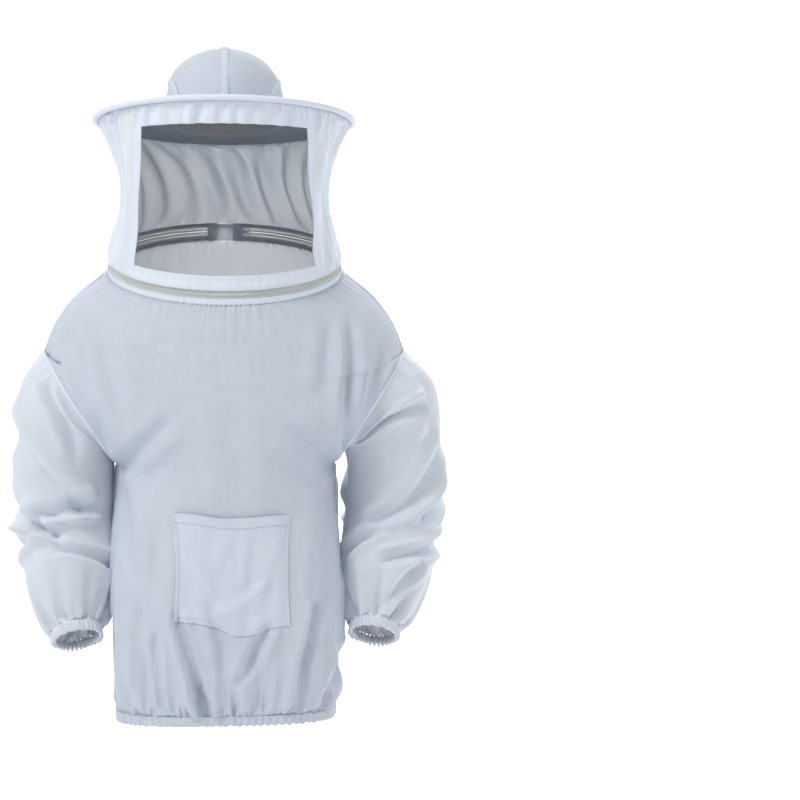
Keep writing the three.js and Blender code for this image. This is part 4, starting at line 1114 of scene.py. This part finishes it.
# The foot of the veil is folded over the outside of the zip tape.
foot_angles = np.degrees(angle[-1])
foot_edge = 0.0003 * np.sin(40 * angle[-1])
foot_radius = neck_radius + 0.0016 + 0.0004 * waves(angle[-1], 45, 80, 130, 4)
foot_rows = [neck_point(foot_angles, h + foot_edge, foot_radius) for h in (0.0128, 0.0098, 0.0074, 0.0069)]
veil_settled = np.concatenate([veil_settled[:-1], np.array(foot_rows)])
veil_faces = quads(len(veil_settled), veil_columns, True)
veil_normals = normals_of(veil_settled.reshape(-1, 3), veil_faces).reshape(veil_settled.shape)
if (veil_normals[30, 0] * (0, -1, 0)).sum() < 0:
    veil_normals = -veil_normals
net_first = int(np.searchsorted(veil_shares, net_from - 1e-6))
net_last = int(np.searchsorted(veil_shares, net_to - 1e-6))

# The net: fine black threads in a diamond mesh, seen through.
net_black = bpy.data.materials.new("black_net")
net_black.use_nodes = True
net_tree = net_black.node_tree
net_shader = net_tree.nodes["Principled BSDF"]
net_shader.inputs["Base Color"].default_value = (0.012, 0.012, 0.013, 1)
net_shader.inputs["Roughness"].default_value = 0.6
net_flat = net_tree.nodes.new("ShaderNodeUVMap")
net_flat.uv_map = "flat"
net_turn = net_tree.nodes.new("ShaderNodeMapping")
net_turn.inputs["Rotation"].default_value = (0, 0, math.radians(45))
net_turn.inputs["Scale"].default_value = (1 / 0.0016, 1 / 0.0016, 1)
net_tree.links.new(net_flat.outputs["UV"], net_turn.inputs["Vector"])
net_split = net_tree.nodes.new("ShaderNodeSeparateXYZ")
net_tree.links.new(net_turn.outputs["Vector"], net_split.inputs["Vector"])


def arithmetic(operation, first, second=0.0):
    node = net_tree.nodes.new("ShaderNodeMath")
    node.operation = operation
    for socket, value in zip(node.inputs, (first, second)):
        if isinstance(value, float):
            socket.default_value = value
        else:
            net_tree.links.new(value, socket)
    return node.outputs["Value"]


half_gap = 0.45  # of a mesh's half width, the rest is thread
threads_across = [
    arithmetic("GREATER_THAN", arithmetic("PINGPONG", net_split.outputs[axis], 0.5), half_gap)
    for axis in ("X", "Y")
]
net_tree.links.new(arithmetic("MAXIMUM", *threads_across), net_shader.inputs["Alpha"])


def veil_piece(name, part, rows, stuff, nodes, thickness=0.0009, lift=0.0):
    first, last = column_range[part]
    pick = np.arange(first, last + 1) % veil_columns
    grid = veil_settled[rows][:, pick] + veil_normals[rows][:, pick] * lift
    return cloth_piece(name, grid, stuff, nodes, "hood", flip=True, thickness=thickness, fine=1)


whole, over_net = slice(0, None), slice(net_first - 1, net_last + 2)
above_net, below_net = slice(0, net_first + 1), slice(net_last, None)
veil_piece("net_cloth", "window", over_net, net_black, ("veil_mesh_front",), 0)
for name, node, rows, thickness in (
    ("window_top_cloth", "window_top_band", above_net, 0.0016),
    ("window_foot_cloth", "window_bottom_band", below_net, 0.0014),
):
    veil_piece(name, "window", rows, trim, (node,), thickness, 0.0008)
for side in ("left", "right"):
    band, panel = f"window_band_{side}", f"veil_side_{side}"
    veil_piece(band + "_cloth", f"band_{side}", whole, trim, (band,), 0.0016, 0.0006)
    veil_piece(panel + "_cloth", f"side_{side}", whole, thin_cotton, (panel,))
veil_piece("veil_back_cloth", "back", whole, thin_cotton, ("veil_back",))
for side, column in zip(("left", "right"), column_range["back"]):
    rows = slice(2, len(veil_settled) - 1)
    rails = veil_settled[rows][:, [column - 4, column, column + 4]]
    out = veil_normals[rows, column]
    count = len(rails) * 3
    name = f"veil_seam_{side}"
    fell(name + "_strip", resample(rails, count), resample(out, count), (name,), "hood", flip=True)


def veil_stitches(name, lines):
    rows = []
    for row, column, lift in lines:
        out = veil_normals[row, column]
        rows.append((veil_settled[row, column] + out * lift, out))
    sew(name, rows, "hood")


window_columns = np.arange(1, 96)
down = slice(1, -1)
veil_stitches(
    "window_stitching",
    [
        (net_first - 1, window_columns, 0.0020),
        (3, window_columns, 0.0020),
        (net_last + 1, window_columns, 0.0020),
        (len(veil_settled) - 2, window_columns, 0.0020),
        (down, 97, 0.0018),
        (down, 101, 0.0018),
        (down, veil_columns - 1, 0.0018),
        (down, veil_columns - 5, 0.0018),
    ],
)

# ---------------------------------------------------------------- hat brim
# Stiff board between two rounds of cotton, with a plastic hoop bound into the rim. The binding is
# smooth and tight over the hoop; the covers have puckered a little where they are sewn to it.
board = woven("stiffening_board", (0.72, 0.72, 0.69, 1), streak=0.12, thread=0.002, bump=0.4)
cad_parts["brim_stiffener"].data.materials[0] = board
hoop_plastic = bpy.data.materials.new("hoop_plastic")
hoop_plastic.use_nodes = True
hoop_shader = hoop_plastic.node_tree.nodes["Principled BSDF"]
hoop_shader.inputs["Base Color"].default_value = (0.82, 0.82, 0.80, 1)
hoop_shader.inputs["Roughness"].default_value = 0.35
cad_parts["brim_hoop"].data.materials[0] = hoop_plastic
head_half_width, head_half_length = 0.095, 0.120
brim_edge = 0.1989
brim_angles = np.linspace(0, 360, 361)[:-1]
for part, height, sign in (("upper", 0.00155, 1), ("lower", -0.00155, -1)):
    rows = []
    for share in np.linspace(0, 1, 16):
        width = (head_half_width - 0.003) * (1 - share) + brim_edge * share
        length = (head_half_length - 0.003) * (1 - share) + brim_edge * share
        puckers = waves(np.radians(brim_angles), 91 + sign, 60, 110, 5) * math.exp(-(1 - share) / 0.12)
        swells = waves(np.radians(brim_angles), 95 + sign, 5, 16, 5) * math.sin(math.pi * share)
        lift = 0.0008 + 0.0005 * puckers + 0.0006 * np.abs(swells)
        rows.append(brim_point(brim_angles, height + sign * lift, width, length))
    cloth_piece(
        f"brim_{part}_cloth",
        np.array(rows),
        cotton,
        (f"brim_{part}_cover",),
        "hood",
        closed=True,
        flip=sign < 0,
    )
rim_rows = []
for turn in np.linspace(-138, 138, 18):
    a = math.radians(turn)
    tube = 0.0040 + 0.00018 * waves(np.radians(brim_angles), 97, 80, 140, 5)
    rim_rows.append(brim_point(brim_angles, tube * math.sin(a), brim_radius + tube * math.cos(a)))
cloth_piece(
    "brim_rim_cloth",
    np.array(rim_rows),
    trim,
    ("brim_rim_binding",),
    "hood",
    closed=True,
    flip=True,
)
rim_turns = np.linspace(0, 360, 721)
rim_line = brim_point(rim_turns, 0.0037, brim_radius - 0.0022)
sew("brim_stitching", [(rim_line, rim_line - brim_point(rim_turns, 0, brim_radius - 0.0022))], "hood")

# ---------------------------------------------------------------- crown
# A round cap of four pieces: two halves that meet in a felled seam over the head, and an ear panel
# set in low on each side. Unlined and unstiffened, so the cloth is softly dented.
crown_height, crown_base, crown_fullness = 0.108, 0.0032, 2.45
ear_half, ear_height = 0.082, 0.056


def dome(forward, up, side, height=0.0):
    """A place on the crown: forward and up are shares of a half ball, which is swelled and stretched."""
    out = np.sqrt(np.maximum(0, 1 - forward**2 - up**2))
    swell = (np.hypot(forward, out) ** crown_fullness + up**crown_fullness) ** (-1 / crown_fullness)
    x = side * (head_half_width + height) * out * swell
    y = -(head_half_length + height) * forward * swell
    z = crown_base + (crown_height + height) * up * swell
    c, s = math.cos(brim_tilt), math.sin(brim_tilt)
    return brim_centre + np.stack([x, y * c - z * s, y * s + z * c], -1)


def dents(places, side):
    x, y, z = np.moveaxis(places - brim_centre, -1, 0)
    broad = np.sin(34 * y + 9 * z + 2 * side) * np.cos(41 * z - 17 * x)
    broad = broad + 0.6 * np.sin(70 * y - 45 * z + side)
    sharp = np.exp(-np.abs(np.sin(23 * y + 31 * z + 1.3 * side)) / 0.16)
    sharp = sharp * smooth(0.5 + 0.5 * np.sin(19 * z - 27 * y))
    return 0.0013 * broad - 0.0016 * sharp


over = np.radians(np.linspace(0.6, 179.4, 121))
cross = np.linspace(0, 1, 41)
ear_forward, ear_up = ear_half / head_half_length, ear_height / crown_height
for part, side in (("left", 1), ("right", -1)):
    o, q = np.meshgrid(over, cross)
    edge = np.minimum(1, 1 / np.hypot(np.cos(o) / ear_forward, np.sin(o) / ear_up))
    turn = q * np.arccos(edge)
    forward, up = np.cos(turn) * np.cos(o), np.cos(turn) * np.sin(o)
    base = dome(forward, up, side, 0.0010)
    fade = smooth(q / 0.12) * smooth((1 - q) / 0.1)
    pucker = 0.0004 * waves(o * 2, 101, 24, 44, 5) * (np.exp(-q / 0.10) + np.exp(-(1 - q) / 0.10))
    height = 0.0010 + dents(base, side) * fade + pucker
    node = f"crown_{part}"
    half = dome(forward, up, side, height)
    cloth_piece(node + "_cloth", half, cotton, (node,), "hood", flip=side > 0)
    ee, ww = np.meshgrid(np.linspace(-0.995, 0.995, 73), np.linspace(0, 1, 31))
    forward, up = ee * ear_half / head_half_length, ear_up * np.sqrt(1 - ee**2) * ww
    ear_base = dome(forward, up, side, 0.0010)
    fade = smooth((1 - ww) / 0.2) * smooth((1 - np.abs(ee)) / 0.2)
    pucker = 0.0004 * waves(ee * 3, 103, 10, 22, 5) * np.exp(-(1 - ww) / 0.15)
    height = 0.0008 + dents(ear_base, -side) * fade + pucker
    node = f"ear_panel_{part}"
    ear = dome(forward, up, side, height)
    cloth_piece(node + "_cloth", ear, cotton, (node,), "hood", flip=side < 0)
    arc = np.linspace(-0.9985, 0.9985, 160)
    arc = np.sin(arc * math.pi / 2)
    seam_rails = []
    for grow in (-0.0032, 0.0, 0.0032):
        forward = arc * (ear_half + grow) / head_half_length
        up = (ear_height + grow) / crown_height * np.sqrt(1 - arc**2)
        seam_rails.append(dome(forward, np.maximum(up, 0.004), side, 0.0012))
    inside = dome(arc * ear_half / head_half_length, ear_up * np.sqrt(1 - arc**2), side, -0.01)
    fell(
        f"ear_seam_{part}_strip",
        np.stack(seam_rails, 1),
        seam_rails[1] - inside,
        (),
        "hood",
        flip=side > 0,
        proud=0.0012,
        seed=105,
        stuff=pocket_cotton,
    )
rails = []
for across_m, side in ((-0.0055, -1), (0.0, 1), (0.0055, 1)):
    turn = abs(across_m) / head_half_width
    rails.append(dome(np.cos(turn) * np.cos(over), np.cos(turn) * np.sin(over), side, 0.0013))
out = rails[1] - dome(np.cos(over), np.sin(over), 1, -0.01)
fell(
    "crown_seam_strip",
    resample(np.stack(rails, 1), 300),
    resample(out, 300),
    ("crown_centre_tape",),
    "hood",
    seed=107,
    stuff=pocket_cotton,
)
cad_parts["sweatband"].data.materials[0] = trim
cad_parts["head_elastic"].data.materials[0] = elastic_knit

# ---------------------------------------------------------------- sizes
final_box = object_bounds()
boxes = {"cad": cad_box, "visual": final_box}
{name: [list(corner) for corner in box] for name, box in boxes.items()}
